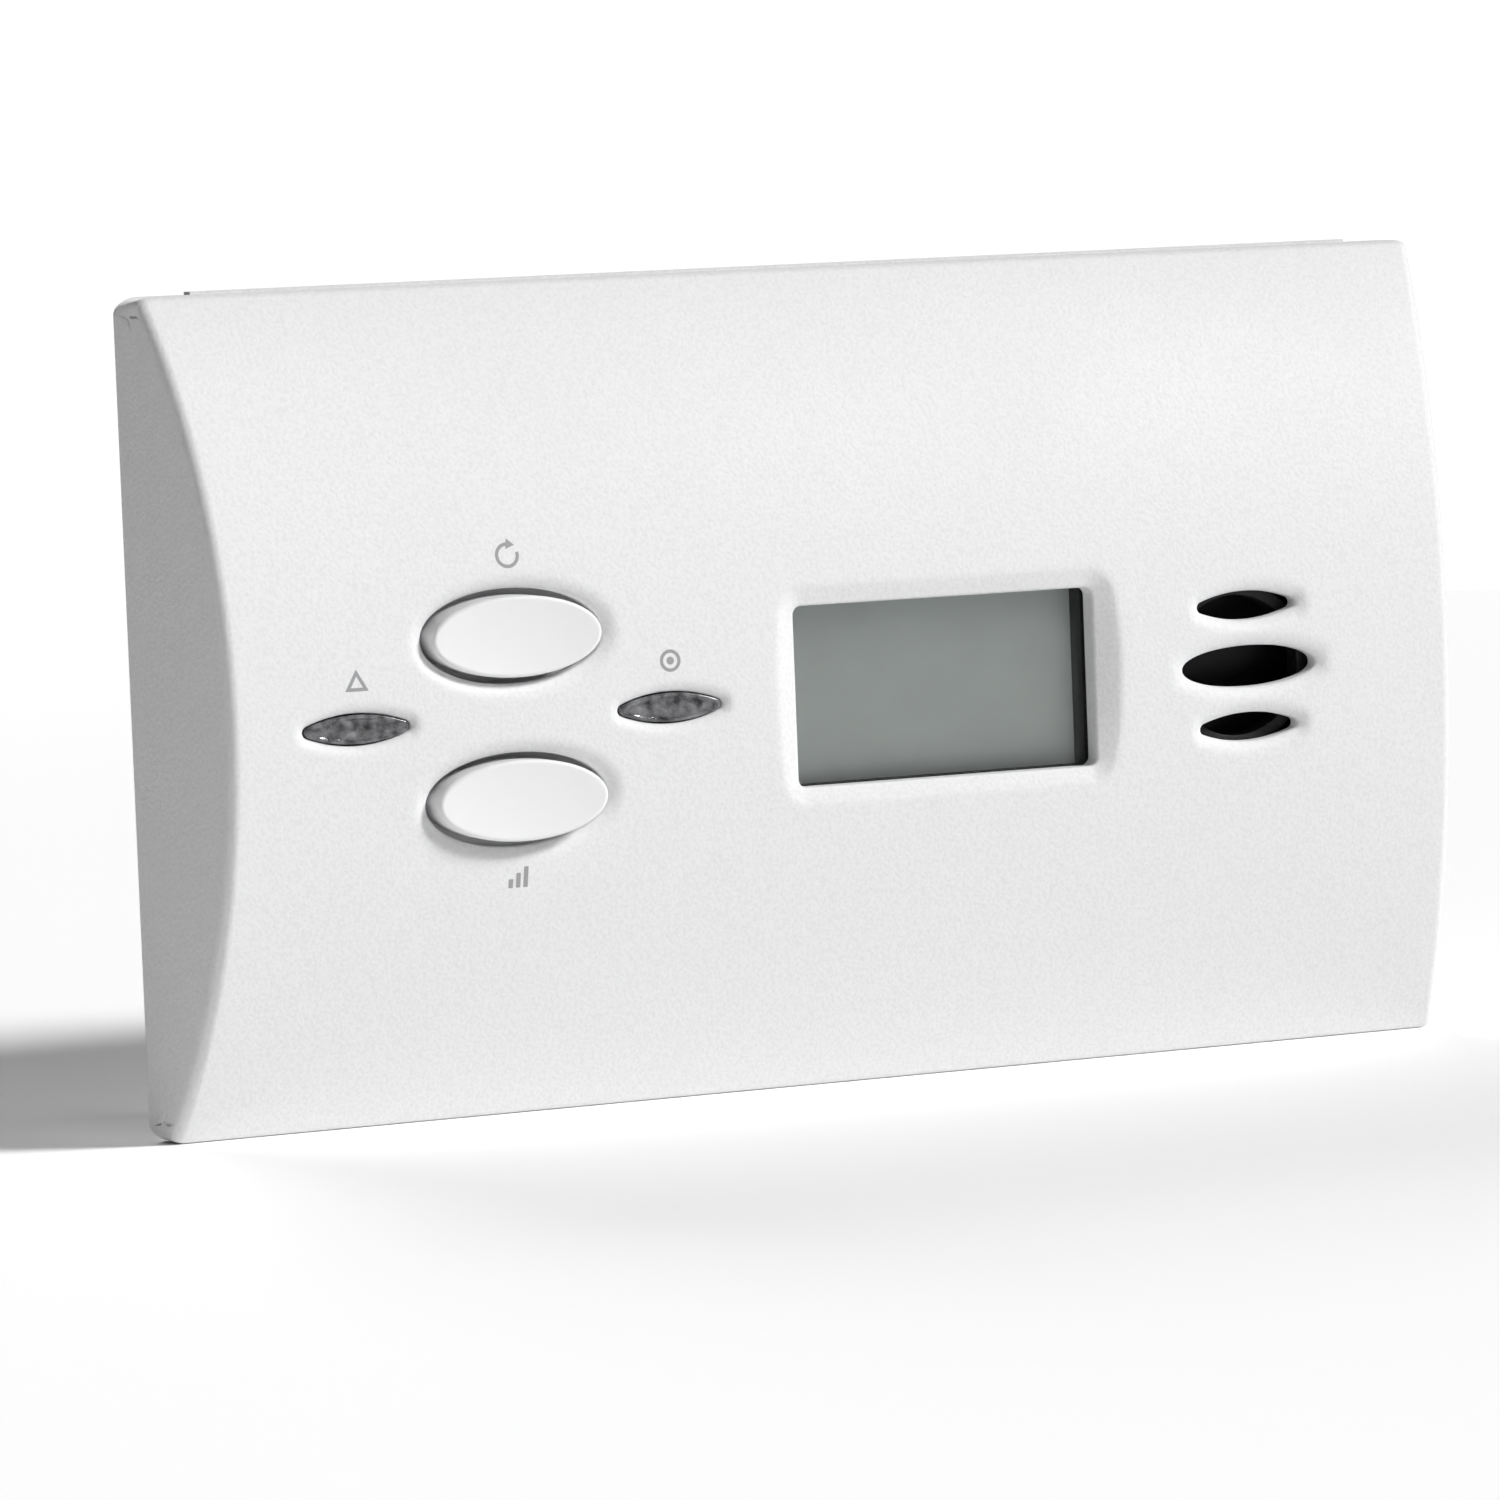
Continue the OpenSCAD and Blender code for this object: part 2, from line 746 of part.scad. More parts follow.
// Plate against a side wall of the bay, from z0 to z1
module contact_plate(side, z0, z1) {
    mirror([side > 0 ? 0 : 1, 0, 0])
        block([contact_x, cell_y - 6, z0], [contact_x + contact_t, cell_y + 6, z1]);
}

// Solder tail of a contact, through the slot in the bay floor
module contact_tail(side, z) {
    mirror([side > 0 ? 0 : 1, 0, 0])
        block([contact_x, bay_floor_y - 3.4, z - 1.5],
            [contact_x + contact_t, cell_y - 6 + eps, z + 1.5]);
}

// Raised button that the nub of a cell touches
module contact_bump(side, z) {
    mirror([side > 0 ? 0 : 1, 0, 0]) translate([0, cell_y, z])
        bar_x(2.4, contact_x - bump_h, contact_x + contact_t / 2);
}

module negative_contact() {
    color("silver") {
        contact_plate(-1, cell_z[0] - 6, cell_z[0] + 6);
        contact_tail(-1, cell_z[0]);
    }
}

module positive_contact() {
    color("silver") {
        contact_plate(1, cell_z[2] - 6, cell_z[2] + 6);
        contact_tail(1, cell_z[2]);
        contact_bump(1, cell_z[2]);
    }
}

module bridge_contact_left() {
    color("silver") {
        contact_plate(-1, cell_z[1] - 6, cell_z[2] + 6);
        contact_bump(-1, cell_z[1]);
    }
}

module bridge_contact_right() {
    color("silver") {
        contact_plate(1, cell_z[0] - 6, cell_z[1] + 6);
        contact_bump(1, cell_z[0]);
    }
}

// Route of a wire in a plane of constant X, as Y and Z offsets from the contact tail
wire_route = [[-0.02, 0], [-0.8, 0], [-1.5, 0.4], [-1.9, 1.2], [-2, 2.2], [-2, 4.8],
    [-2.1, 5.8], [-2.5, 6.6], [-3.2, 7], [-3.98, 7]];

// Insulated wire from a contact tail to the back of the board; up is 1 or -1
module wire(side, z, up) {
    wire_r = 0.5;
    last = len(wire_route) - 1;
    points = [for (i = [0:last])
        let (run = wire_route[min(i + 1, last)] - wire_route[max(i - 1, 0)], n = run / norm(run))
        each [for (k = [0:7]) [wire_r * cos(k * 45),
            wire_route[i][0] - n[1] * wire_r * sin(k * 45),
            wire_route[i][1] + n[0] * wire_r * sin(k * 45)]]];
    translate([side * (contact_x + contact_t / 2), bay_floor_y - 3.4, z])
        mirror([0, 0, up > 0 ? 0 : 1]) tube_skin(points, last);
}

module negative_wire() { color("black") wire(-1, cell_z[0], -1); }
module positive_wire() { color("red") wire(1, cell_z[2], 1); }

front_cover();
rear_cover();
battery_door();
rating_label();
case_screws();
test_button();
peak_button();
test_switch_body();
test_switch_plunger();
peak_switch_body();
peak_switch_plunger();
alarm_lens();
operate_lens();
alarm_led();
operate_led();
display_window();
lcd_panel();
lcd_frame();
lcd_contact_strip();
circuit_board();
board_screws();
horn_housing();
horn_disc();
horn_ceramic();
co_sensor_can();
co_sensor_cap();
co_sensor_straps();
microcontroller();
horn_coil();
capacitor_large();
capacitor_small();
driver_transistor();
crystal();
chip_components();
battery_bottom();
battery_middle();
battery_top();
battery_spring_bottom();
battery_spring_middle();
battery_spring_top();
negative_contact();
positive_contact();
bridge_contact_left();
bridge_contact_right();
negative_wire();
positive_wire();
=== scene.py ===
import json
import math

import bmesh
import bpy
import numpy as np
from mathutils import Matrix, Vector


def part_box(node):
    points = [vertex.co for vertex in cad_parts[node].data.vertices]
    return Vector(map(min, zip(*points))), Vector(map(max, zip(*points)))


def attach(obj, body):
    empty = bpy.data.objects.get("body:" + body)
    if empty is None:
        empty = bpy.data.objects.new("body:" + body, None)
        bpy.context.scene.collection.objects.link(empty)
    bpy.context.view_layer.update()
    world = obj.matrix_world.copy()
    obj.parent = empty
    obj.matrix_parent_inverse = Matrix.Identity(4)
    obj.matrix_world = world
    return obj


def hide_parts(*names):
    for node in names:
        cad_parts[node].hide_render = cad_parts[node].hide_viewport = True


# Looks of a battery-powered carbon monoxide alarm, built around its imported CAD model.
# Shapes are worked out in millimetres in the CAD frame: X across, Y back, Z up.
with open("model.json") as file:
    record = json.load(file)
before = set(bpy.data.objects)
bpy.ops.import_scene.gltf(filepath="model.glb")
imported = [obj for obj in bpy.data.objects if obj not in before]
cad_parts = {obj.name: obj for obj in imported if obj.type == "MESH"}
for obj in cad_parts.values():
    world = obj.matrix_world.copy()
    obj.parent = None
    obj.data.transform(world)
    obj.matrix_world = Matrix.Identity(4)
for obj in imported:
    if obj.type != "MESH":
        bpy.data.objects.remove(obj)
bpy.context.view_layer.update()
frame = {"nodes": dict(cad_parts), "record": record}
NODES = frame["nodes"]
MM = 0.001


def corners(node):
    """Lowest and highest corner of a CAD node, in millimetres."""
    low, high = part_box(node)
    return np.array(low) / MM, np.array(high) / MM


def centre_xz(node):
    """Middle of a CAD node across and up, in millimetres."""
    low, high = corners(node)
    return (low[0] + high[0]) / 2, (low[2] + high[2]) / 2


# ---- driving dimensions, from the CAD nodes ----

COVER_LOW, COVER_HIGH = corners("front_cover")
HALF_W = COVER_HIGH[0]
HEIGHT = COVER_HIGH[2]
MID_Z = HEIGHT / 2
CROWN = COVER_LOW[1]
RIM = COVER_HIGH[1]

# Shape of the front cover
EDGE_DEPTH = 4.0
END_SLOPE = math.radians(15)
CORNER_R = 3.0
OUTLINE_SPARE_W = 1.0
WALL = 2.2
CREASE_R = 0.9
EDGE_R = 0.5
SEAM = RIM - 2.8
SEAM_CORNER = 2.0
LIP = 1.6
TOP_LIP_HALF = 65.0
TOP_LIP_DEPTH = 1.8
SAGITTA = RIM - CROWN - EDGE_DEPTH
BOW_R = (MID_Z ** 2 + SAGITTA ** 2) / (2 * SAGITTA)

# Openings of the front cover
HOLE_EDGE_R = 0.2
BUTTON_FLANGE_GROW = 3.6
BUTTON_GAP = 0.7
LENS_SIZE = (11.0, 2.9)
LENS_GAP = (0.4, 0.3)
DISPLAY_BORDER = 3.2
DISPLAY_EXTRA_BORDER_Z = 0.2
DISPLAY_CORNER = 0.9
RECESS_DEPTH = 1.4
RECESS_WIDTH = 2.5
TIP_R = 0.6
SLOT_PITCH = 6.3
OUTER_SLOT = (11.4, 3.0)
MIDDLE_SLOT = (15.5, 4.3)
SLOTS_SHIFT = 0.4

# Depth and width of the soft dish round each kind of opening
BUTTON_DISH = (0.8, 1.7)
LENS_DISH = (0.6, 1.3)
SLOT_DISH = (0.7, 1.7)

BUTTONS = {name: centre_xz(name) for name in ("test_button", "peak_button")}
FLANGE_LOW, FLANGE_HIGH = corners("test_button")
CAP_W = FLANGE_HIGH[0] - FLANGE_LOW[0] - BUTTON_FLANGE_GROW
CAP_H = FLANGE_HIGH[2] - FLANGE_LOW[2] - BUTTON_FLANGE_GROW
CAP_FRONT = FLANGE_LOW[1]
LENSES = {name: centre_xz(name) for name in ("alarm_lens", "operate_lens")}
PANE_LOW, PANE_HIGH = corners("display_window")
DISPLAY = centre_xz("display_window")
PANE_W = PANE_HIGH[0] - PANE_LOW[0]
PANE_H = PANE_HIGH[2] - PANE_LOW[2]
DISPLAY_W = PANE_W - DISPLAY_BORDER
DISPLAY_H = PANE_H - DISPLAY_BORDER - DISPLAY_EXTRA_BORDER_Z
HORN = centre_xz("horn_housing")
SLOTS = (HORN[0] + SLOTS_SHIFT, HORN[1])


# ---- outlines: distance outside each shape, negative inside ----

def oval_gap(x, z, centre, size):
    """Distance outside an ellipse."""
    px, pz = x - centre[0], z - centre[1]
    a, b = size[0] / 2, size[1] / 2
    ratio = np.hypot(px / a, pz / b)
    steepness = np.hypot(px / a ** 2, pz / b ** 2)
    return np.where(steepness < 1e-6, -b, ratio * (ratio - 1) / np.maximum(steepness, 1e-6))


def eye_gap(x, z, centre, size):
    """Distance outside an eye shape made of two equal arcs, with rounded tips."""
    w, h = size[0] - 2 * TIP_R, size[1] - 2 * TIP_R
    radius = (w * w + h * h) / (4 * h)
    px, pz = np.abs(x - centre[0]), np.abs(z - centre[1])
    offset = radius - h / 2
    arc = np.hypot(px, pz + offset) - radius
    beyond_tip = px * offset > (pz + offset) * w / 2
    return np.where(beyond_tip, np.hypot(px - w / 2, pz), arc) - TIP_R


def rect_gap(x, z, centre, size, radius):
    """Distance outside a rectangle with round corners."""
    qx = np.abs(x - centre[0]) - (size[0] / 2 - radius)
    qz = np.abs(z - centre[1]) - (size[1] / 2 - radius)
    outside = np.hypot(np.maximum(qx, 0), np.maximum(qz, 0))
    return outside + np.minimum(np.maximum(qx, qz), 0) - radius


# ---- solids built between a front and a back height field ----

def spaced(stops, steps):
    """Grid lines through the stops, no further apart than the step given for each stretch."""
    lines = [stops[0]]
    for a, b, step in zip(stops, stops[1:], steps):
        count = max(1, math.ceil((b - a) / step - 1e-6))
        lines += [a + (b - a) * k / count for k in range(1, count + 1)]
    return np.array(lines)


def even_lines(low, high, step):
    """Evenly spaced grid lines from low to high."""
    return spaced([low, high], [step])


def clip_grid(xs, zs, inside):
    """Points and faces of a grid where inside(x, z) is positive, cut along its zero line."""
    grid_x, grid_z = np.meshgrid(xs, zs, indexing="ij")
    d = inside(grid_x, grid_z)
    d = np.where(np.abs(d) < 1e-4, 1e-4, d)
    keep = d > 0
    index = np.full(d.shape, -1)
    index[keep] = np.arange(keep.sum())
    points = [tuple(p) for p in np.column_stack([grid_x[keep], grid_z[keep]])]
    cells = [index[:-1, :-1], index[1:, :-1], index[1:, 1:], index[:-1, 1:]]
    whole = np.all([c >= 0 for c in cells], axis=0)
    faces = np.column_stack([c[whole] for c in cells]).tolist()
    cuts = {}

    def cut_point(a, b):
        key = (a, b) if a < b else (b, a)
        if key not in cuts:
            share = d[key[0]] / (d[key[0]] - d[key[1]])
            start, end = key
            cuts[key] = len(points)
            points.append((xs[start[0]] + share * (xs[end[0]] - xs[start[0]]),
                           zs[start[1]] + share * (zs[end[1]] - zs[start[1]])))
        return cuts[key]

    some = np.any([c >= 0 for c in cells], axis=0) & ~whole
    for i, j in zip(*np.nonzero(some)):
        ring = [(i, j), (i + 1, j), (i + 1, j + 1), (i, j + 1)]
        face = []
        for a, b in zip(ring, ring[1:] + ring[:1]):
            if keep[a]:
                face.append(int(index[a]))
            if keep[a] != keep[b]:
                face.append(cut_point(a, b))
        if len(face) > 2:
            faces.append(face)
    return np.array(points), faces


def open_edges(faces):
    """Directed edges that only one face uses."""
    edges = {(a, b) for face in faces for a, b in zip(face, face[1:] + face[:1])}
    return [e for e in edges if (e[1], e[0]) not in edges]


def solid(xs, zs, inside, front, back, rings=(0.0,)):
    """Closed solid over the region where inside(x, z) > 0, between two height fields.
    The grid ends where inside equals the first of rings, and a strip follows to each next one."""
    points, faces = clip_grid(xs, zs, lambda x, z: inside(x, z) - rings[0])
    edge = open_edges(faces)
    rim = sorted({v for e in edge for v in e})
    x, z = points[rim, 0], points[rim, 1]
    step = 0.01
    slope = np.column_stack([inside(x + step, z) - inside(x - step, z),
                             inside(x, z + step) - inside(x, z - step)])
    slope /= np.maximum(np.linalg.norm(slope, axis=1), 1e-9)[:, None]
    last = {v: v for v in rim}
    for ring in rings[1:]:
        start = len(points)
        points = np.vstack([points, points[rim] - slope * (rings[0] - ring)])
        new = {v: start + k for k, v in enumerate(rim)}
        faces += [[last[b], last[a], new[a], new[b]] for a, b in edge]
        last = new
    count = len(points)
    front_y = front(points[:, 0], points[:, 1])
    back_y = np.maximum(back(points[:, 0], points[:, 1]), front_y)
    verts = np.vstack([np.column_stack([points[:, 0], y, points[:, 1]]) for y in (front_y, back_y)])
    behind = [[v + count for v in reversed(face)] for face in faces]
    sides = [[last[b], last[a], last[a] + count, last[b] + count] for a, b in edge]
    return verts, faces + behind + sides


def plate(xs, zs, inside, y0, y1, rings=(0.0,)):
    """Flat solid between two planes, with its front edge rounded over the width of the rings."""
    radius = rings[0]

    def front(x, z):
        return y0 + edge_drop(inside(x, z), radius)

    return solid(xs, zs, inside, front, lambda x, z: np.full_like(x, y1), rings)


def edge_drop(d, radius):
    """How far a rounded edge of that radius has fallen away at distance d from the edge."""
    left = np.clip(radius - d, 0, radius)
    return radius - np.sqrt(radius ** 2 - left ** 2)


def quarter_rings(radius, count=6):
    """Distances from an edge that divide its fillet into equal turns."""
    return tuple(radius * (1 - math.sin(math.pi / 2 * k / count)) for k in range(count + 1))


# ---- making pieces ----

SHARP_ANGLE = math.radians(32)


def add_piece(name, parts, body, finish, replaced=()):
    """One object from the (points, faces, material index) parts, in millimetres."""
    verts, faces, finishes = [], [], []
    for part in parts:
        points, part_faces = part[0], part[1]
        start = len(verts)
        verts += (np.asarray(points, float) * MM).tolist()
        faces += [[v + start for v in face] for face in part_faces]
        finishes += [part[2] if len(part) > 2 else 0] * len(part_faces)
    mesh = bpy.data.meshes.new(name)
    mesh.from_pydata(verts, [], faces)
    mesh.polygons.foreach_set("material_index", finishes)
    tidy = bmesh.new()
    tidy.from_mesh(mesh)
    bmesh.ops.remove_doubles(tidy, verts=tidy.verts, dist=1e-7)
    bmesh.ops.dissolve_degenerate(tidy, edges=tidy.edges, dist=1e-7)
    tidy.to_mesh(mesh)
    tidy.free()
    mesh.shade_smooth()
    mesh.set_sharp_from_angle(angle=SHARP_ANGLE)
    for material in finish if isinstance(finish, list) else [finish]:
        mesh.materials.append(material)
    piece = bpy.data.objects.new(name, mesh)
    bpy.context.scene.collection.objects.link(piece)
    return settle(piece, body, replaced)


def settle(piece, body, replaced=()):
    """Puts a finished piece on its body and hides the CAD nodes that it replaces."""
    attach(piece, body)
    if replaced:
        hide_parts(*replaced)
    return piece


def lathe(profile, axis_point, turns=64, sign=1):
    """Rings of (along, radius) points turned about an axis that runs along X."""
    points, faces = [], []
    for along, radius in profile:
        for k in range(turns):
            a = 2 * math.pi * k / turns
            points.append((axis_point[0] + sign * along, axis_point[1] + radius * math.cos(a),
                           axis_point[2] + sign * radius * math.sin(a)))
    for i in range(len(profile) - 1):
        for k in range(turns):
            n = (k + 1) % turns
            faces.append([i * turns + k, i * turns + n, (i + 1) * turns + n, (i + 1) * turns + k])
    last = (len(profile) - 1) * turns
    faces.append(list(range(turns))[::-1])
    faces.append([last + k for k in range(turns)])
    return points, faces


# ---- materials ----

# The part of a noise texture's range that holds most of its values
NOISE_LOW, NOISE_HIGH = 0.3, 0.7


def new_material(name):
    """Empty node material with its Principled shader and object coordinates."""
    material = bpy.data.materials.new(name)
    material.use_nodes = True
    nodes = material.node_tree.nodes
    coords = nodes.new("ShaderNodeTexCoord")
    return material, nodes, material.node_tree.links, nodes["Principled BSDF"], coords


def noise(nodes, links, coords, size_mm, detail=2.0):
    """Noise whose features are about size_mm across."""
    texture = nodes.new("ShaderNodeTexNoise")
    texture.inputs["Scale"].default_value = 1 / (size_mm * MM)
    texture.inputs["Detail"].default_value = detail
    links.new(coords.outputs["Object"], texture.inputs["Vector"])
    return texture


def tones(nodes, links, source, dark, light, low=NOISE_LOW, high=NOISE_HIGH):
    """Colour ramp from dark to light over a range of the source value."""
    ramp = nodes.new("ShaderNodeValToRGB")
    ramp.color_ramp.elements[0].position = low
    ramp.color_ramp.elements[1].position = high
    ramp.color_ramp.elements[0].color = (*dark, 1)
    ramp.color_ramp.elements[1].color = (*light, 1)
    links.new(source, ramp.inputs["Fac"])
    return ramp


def spread(nodes, links, source, low, high):
    """Source value rescaled to run from low to high."""
    scale = nodes.new("ShaderNodeMapRange")
    scale.inputs["From Min"].default_value = NOISE_LOW
    scale.inputs["From Max"].default_value = NOISE_HIGH
    scale.inputs["To Min"].default_value = low
    scale.inputs["To Max"].default_value = high
    links.new(source, scale.inputs["Value"])
    return scale.outputs["Result"]


def bump(nodes, links, height, depth_mm, shader, strength=1.0, under=None):
    """Bump of that depth on a shader, over another bump if one is given."""
    node = nodes.new("ShaderNodeBump")
    node.inputs["Strength"].default_value = strength
    node.inputs["Distance"].default_value = depth_mm * MM
    links.new(height, node.inputs["Height"])
    if under is not None:
        links.new(under.outputs["Normal"], node.inputs["Normal"])
    links.new(node.outputs["Normal"], shader.inputs["Normal"])
    return node


def shade(colour, factor):
    """Colour made darker or lighter."""
    return tuple(min(1.0, c * factor) for c in colour)


def moulded(name, colour, rough, grain_mm=0.4, grain_depth=0.006, vary=0.03, specular=0.4,
            metallic=0.0, coat=0.0):
    """Moulded, painted or plated surface with fine grain and slight variation of tone."""
    material, nodes, links, shader, coords = new_material(name)
    broad = noise(nodes, links, coords, 14, 4)
    fine = noise(nodes, links, coords, grain_mm, 3)
    ramp = tones(nodes, links, broad.outputs["Fac"], shade(colour, 1 - vary), colour)
    links.new(ramp.outputs["Color"], shader.inputs["Base Color"])
    links.new(spread(nodes, links, fine.outputs["Fac"], rough - 0.05, rough + 0.05),
              shader.inputs["Roughness"])
    bump(nodes, links, fine.outputs["Fac"], grain_depth, shader)
    shader.inputs["Metallic"].default_value = metallic
    shader.inputs["Specular IOR Level"].default_value = specular
    shader.inputs["Coat Weight"].default_value = coat
    return material


WHITE = (0.80, 0.80, 0.805)


def white_cover():
    """Matte white plastic with the fine spark texture of a moulded cover."""
    material, nodes, links, shader, coords = new_material("white_cover")
    broad = noise(nodes, links, coords, 22, 3)
    spark = noise(nodes, links, coords, 0.4, 3)
    ramp = tones(nodes, links, spark.outputs["Fac"], shade(WHITE, 0.93), WHITE, 0.3, 0.6)
    links.new(ramp.outputs["Color"], shader.inputs["Base Color"])
    links.new(spread(nodes, links, broad.outputs["Fac"], 0.48, 0.60), shader.inputs["Roughness"])
    bump(nodes, links, spark.outputs["Fac"], 0.04, shader)
    shader.inputs["Specular IOR Level"].default_value = 0.35
    return material


def clear_pane():
    """Thin clear window: seen straight through, with a faint gloss."""
    material, nodes, links, shader, coords = new_material("clear_window")
    nodes.remove(shader)
    fresnel = nodes.new("ShaderNodeFresnel")
    fresnel.inputs["IOR"].default_value = 1.35
    through = nodes.new("ShaderNodeBsdfTransparent")
    through.inputs["Color"].default_value = (0.97, 0.98, 0.975, 1)
    gloss = nodes.new("ShaderNodeBsdfGlossy")
    smear = noise(nodes, links, coords, 6, 3)
    links.new(spread(nodes, links, smear.outputs["Fac"], 0.05, 0.12), gloss.inputs["Roughness"])
    mix = nodes.new("ShaderNodeMixShader")
    links.new(fresnel.outputs["Fac"], mix.inputs["Fac"])
    links.new(through.outputs["BSDF"], mix.inputs[1])
    links.new(gloss.outputs["BSDF"], mix.inputs[2])
    links.new(mix.outputs["Shader"], nodes["Material Output"].inputs["Surface"])
    return material


def lens_plastic():
    """Looks like the smoky clear plastic of a light pipe, but is opaque: mottled under a gloss coat."""
    material, nodes, links, shader, coords = new_material("clear_lens")
    cloud = noise(nodes, links, coords, 1.4, 4)
    speck = noise(nodes, links, coords, 0.3, 3)
    dark, light = (0.03, 0.03, 0.032), (0.21, 0.21, 0.22)
    ramp = tones(nodes, links, cloud.outputs["Fac"], dark, light, 0.36, 0.66)
    links.new(ramp.outputs["Color"], shader.inputs["Base Color"])
    links.new(spread(nodes, links, speck.outputs["Fac"], 0.12, 0.3), shader.inputs["Roughness"])
    bump(nodes, links, cloud.outputs["Fac"], 0.05, shader)
    shader.inputs["Specular IOR Level"].default_value = 0.6
    shader.inputs["Coat Weight"].default_value = 0.6
    shader.inputs["Coat Roughness"].default_value = 0.05
    return material


def lcd_glass():
    """Switched-off liquid crystal: even grey-green with a very fine grain."""
    material, nodes, links, shader, coords = new_material("lcd")
    broad = noise(nodes, links, coords, 9, 3)
    fine = noise(nodes, links, coords, 0.25, 2)
    ramp = tones(nodes, links, broad.outputs["Fac"], (0.76, 0.795, 0.78), (0.83, 0.87, 0.85))
    links.new(ramp.outputs["Color"], shader.inputs["Base Color"])
    links.new(spread(nodes, links, fine.outputs["Fac"], 0.4, 0.5), shader.inputs["Roughness"])
    bump(nodes, links, fine.outputs["Fac"], 0.002, shader)
    return material


def laminate():
    """Green board: solder mask over a faint grid of copper tracks."""
    material, nodes, links, shader, coords = new_material("board")
    tracks = nodes.new("ShaderNodeTexBrick")
    tracks.inputs["Scale"].default_value = 1 / (6 * MM)
    tracks.inputs["Mortar Size"].default_value = 0.06
    tracks.inputs["Color1"].default_value = (0.01, 0.10, 0.035, 1)
    tracks.inputs["Color2"].default_value = (0.012, 0.12, 0.04, 1)
    tracks.inputs["Mortar"].default_value = (0.03, 0.20, 0.08, 1)
    turn = nodes.new("ShaderNodeMapping")
    turn.inputs["Rotation"].default_value = (math.pi / 2, 0, 0)
    links.new(coords.outputs["Object"], turn.inputs["Vector"])
    links.new(turn.outputs["Vector"], tracks.inputs["Vector"])
    links.new(tracks.outputs["Color"], shader.inputs["Base Color"])
    weave = noise(nodes, links, coords, 0.5, 2)
    links.new(spread(nodes, links, weave.outputs["Fac"], 0.25, 0.4), shader.inputs["Roughness"])
    bump(nodes, links, tracks.outputs["Fac"], 0.03, shader)
    return material


def wound_wire():
    """Enamelled copper wire wound side by side, with painted shade in the grooves between the turns."""
    material, nodes, links, shader, coords = new_material("coil_wire")
    wave = nodes.new("ShaderNodeTexWave")
    wave.bands_direction = "Y"
    wave.inputs["Scale"].default_value = 1 / (2.4 * MM)
    links.new(coords.outputs["Object"], wave.inputs["Vector"])
    # Painted shade: the colour runs from dark in the grooves between turns to the copper's own colour on
    # each turn.
    dark, light = (0.10, 0.025, 0.008), (0.45, 0.17, 0.06)
    ramp = tones(nodes, links, wave.outputs["Fac"], dark, light, 0.1, 0.8)
    links.new(ramp.outputs["Color"], shader.inputs["Base Color"])
    bump(nodes, links, wave.outputs["Fac"], 0.08, shader)
    shader.inputs["Metallic"].default_value = 0.8
    shader.inputs["Roughness"].default_value = 0.35
    return material


def tinted_dome(name, colour):
    """Looks like the tinted resin of an indicator, but is opaque."""
    material, nodes, links, shader, coords = new_material(name)
    cloud = noise(nodes, links, coords, 0.8, 2)
    ramp = tones(nodes, links, cloud.outputs["Fac"], shade(colour, 0.7), colour)
    links.new(ramp.outputs["Color"], shader.inputs["Base Color"])
    shader.inputs["Roughness"].default_value = 0.12
    shader.inputs["Coat Weight"].default_value = 0.8
    return material


MATERIALS = {
    "white_cover": white_cover(),
    "white_cap": moulded("white_cap", (0.82, 0.82, 0.825), rough=0.42, grain_mm=0.5, grain_depth=0.004,
                         vary=0.01, specular=0.4),
    "clear_lens": lens_plastic(),
    "clear_window": clear_pane(),
    "lcd": lcd_glass(),
    "black_plastic": moulded("black_plastic", (0.012, 0.012, 0.013), rough=0.55, grain_mm=0.5,
                             grain_depth=0.06, vary=0.3),
    "contact_rubber": moulded("contact_rubber", (0.45, 0.10, 0.14), rough=0.6, grain_mm=0.4,
                              grain_depth=0.01, vary=0.15),
    "led_red": tinted_dome("led_red", (0.55, 0.03, 0.02)),
    "led_green": tinted_dome("led_green", (0.10, 0.45, 0.08)),
    "board": laminate(),
    "zinc_steel": moulded("zinc_steel", (0.62, 0.62, 0.63), rough=0.32, grain_mm=0.3, grain_depth=0.004,
                          vary=0.12, specular=0.5, metallic=1.0),
    "black_steel": moulded("black_steel", (0.03, 0.03, 0.032), rough=0.4, grain_mm=0.3,
                           grain_depth=0.006, vary=0.3, specular=0.5, metallic=0.7),
    "ceramic": moulded("ceramic", (0.72, 0.68, 0.58), rough=0.5, grain_mm=0.3, grain_depth=0.006,
                       vary=0.08),
    "coil_wire": wound_wire(),
    "capacitor_sleeve": moulded("capacitor_sleeve", (0.02, 0.03, 0.10), rough=0.3, grain_mm=0.8,
                                grain_depth=0.01, vary=0.2),
    "chip_body": moulded("chip_body", (0.02, 0.02, 0.02), rough=0.5, grain_mm=0.3, grain_depth=0.012,
                         vary=0.2),
    "cell_sleeve": moulded("cell_sleeve", (0.05, 0.055, 0.065), rough=0.28, grain_mm=1.2,
                           grain_depth=0.0015, vary=0.2, specular=0.5, metallic=0.2, coat=0.5),
    "label_film": moulded("label_film", (0.66, 0.66, 0.67), rough=0.35, grain_mm=0.8, grain_depth=0.006,
                          vary=0.06, specular=0.5, metallic=0.3),
    "black_wire": moulded("black_wire", (0.02, 0.02, 0.02), rough=0.45, grain_mm=0.6, grain_depth=0.01,
                          vary=0.2),
    "red_wire": moulded("red_wire", (0.42, 0.02, 0.015), rough=0.45, grain_mm=0.6, grain_depth=0.01,
                        vary=0.15),
}
INK = moulded("grey_ink", (0.36, 0.36, 0.365), rough=0.6, grain_mm=0.3, grain_depth=0.006, vary=0.06,
              specular=0.2)


# ---- front cover ----

def smooth_max(a, b, blend):
    """Larger of two heights, with the corner between them rounded."""
    return (a + b + np.sqrt((a - b) ** 2 + blend ** 2)) / 2


def bow(z, inset=0.0):
    """Bowed face and the cosine of its tilt, at height z."""
    radius = BOW_R - inset
    run = np.sqrt(np.maximum(radius ** 2 - (z - MID_Z) ** 2, 1.0))
    return CROWN + BOW_R - run, run / radius


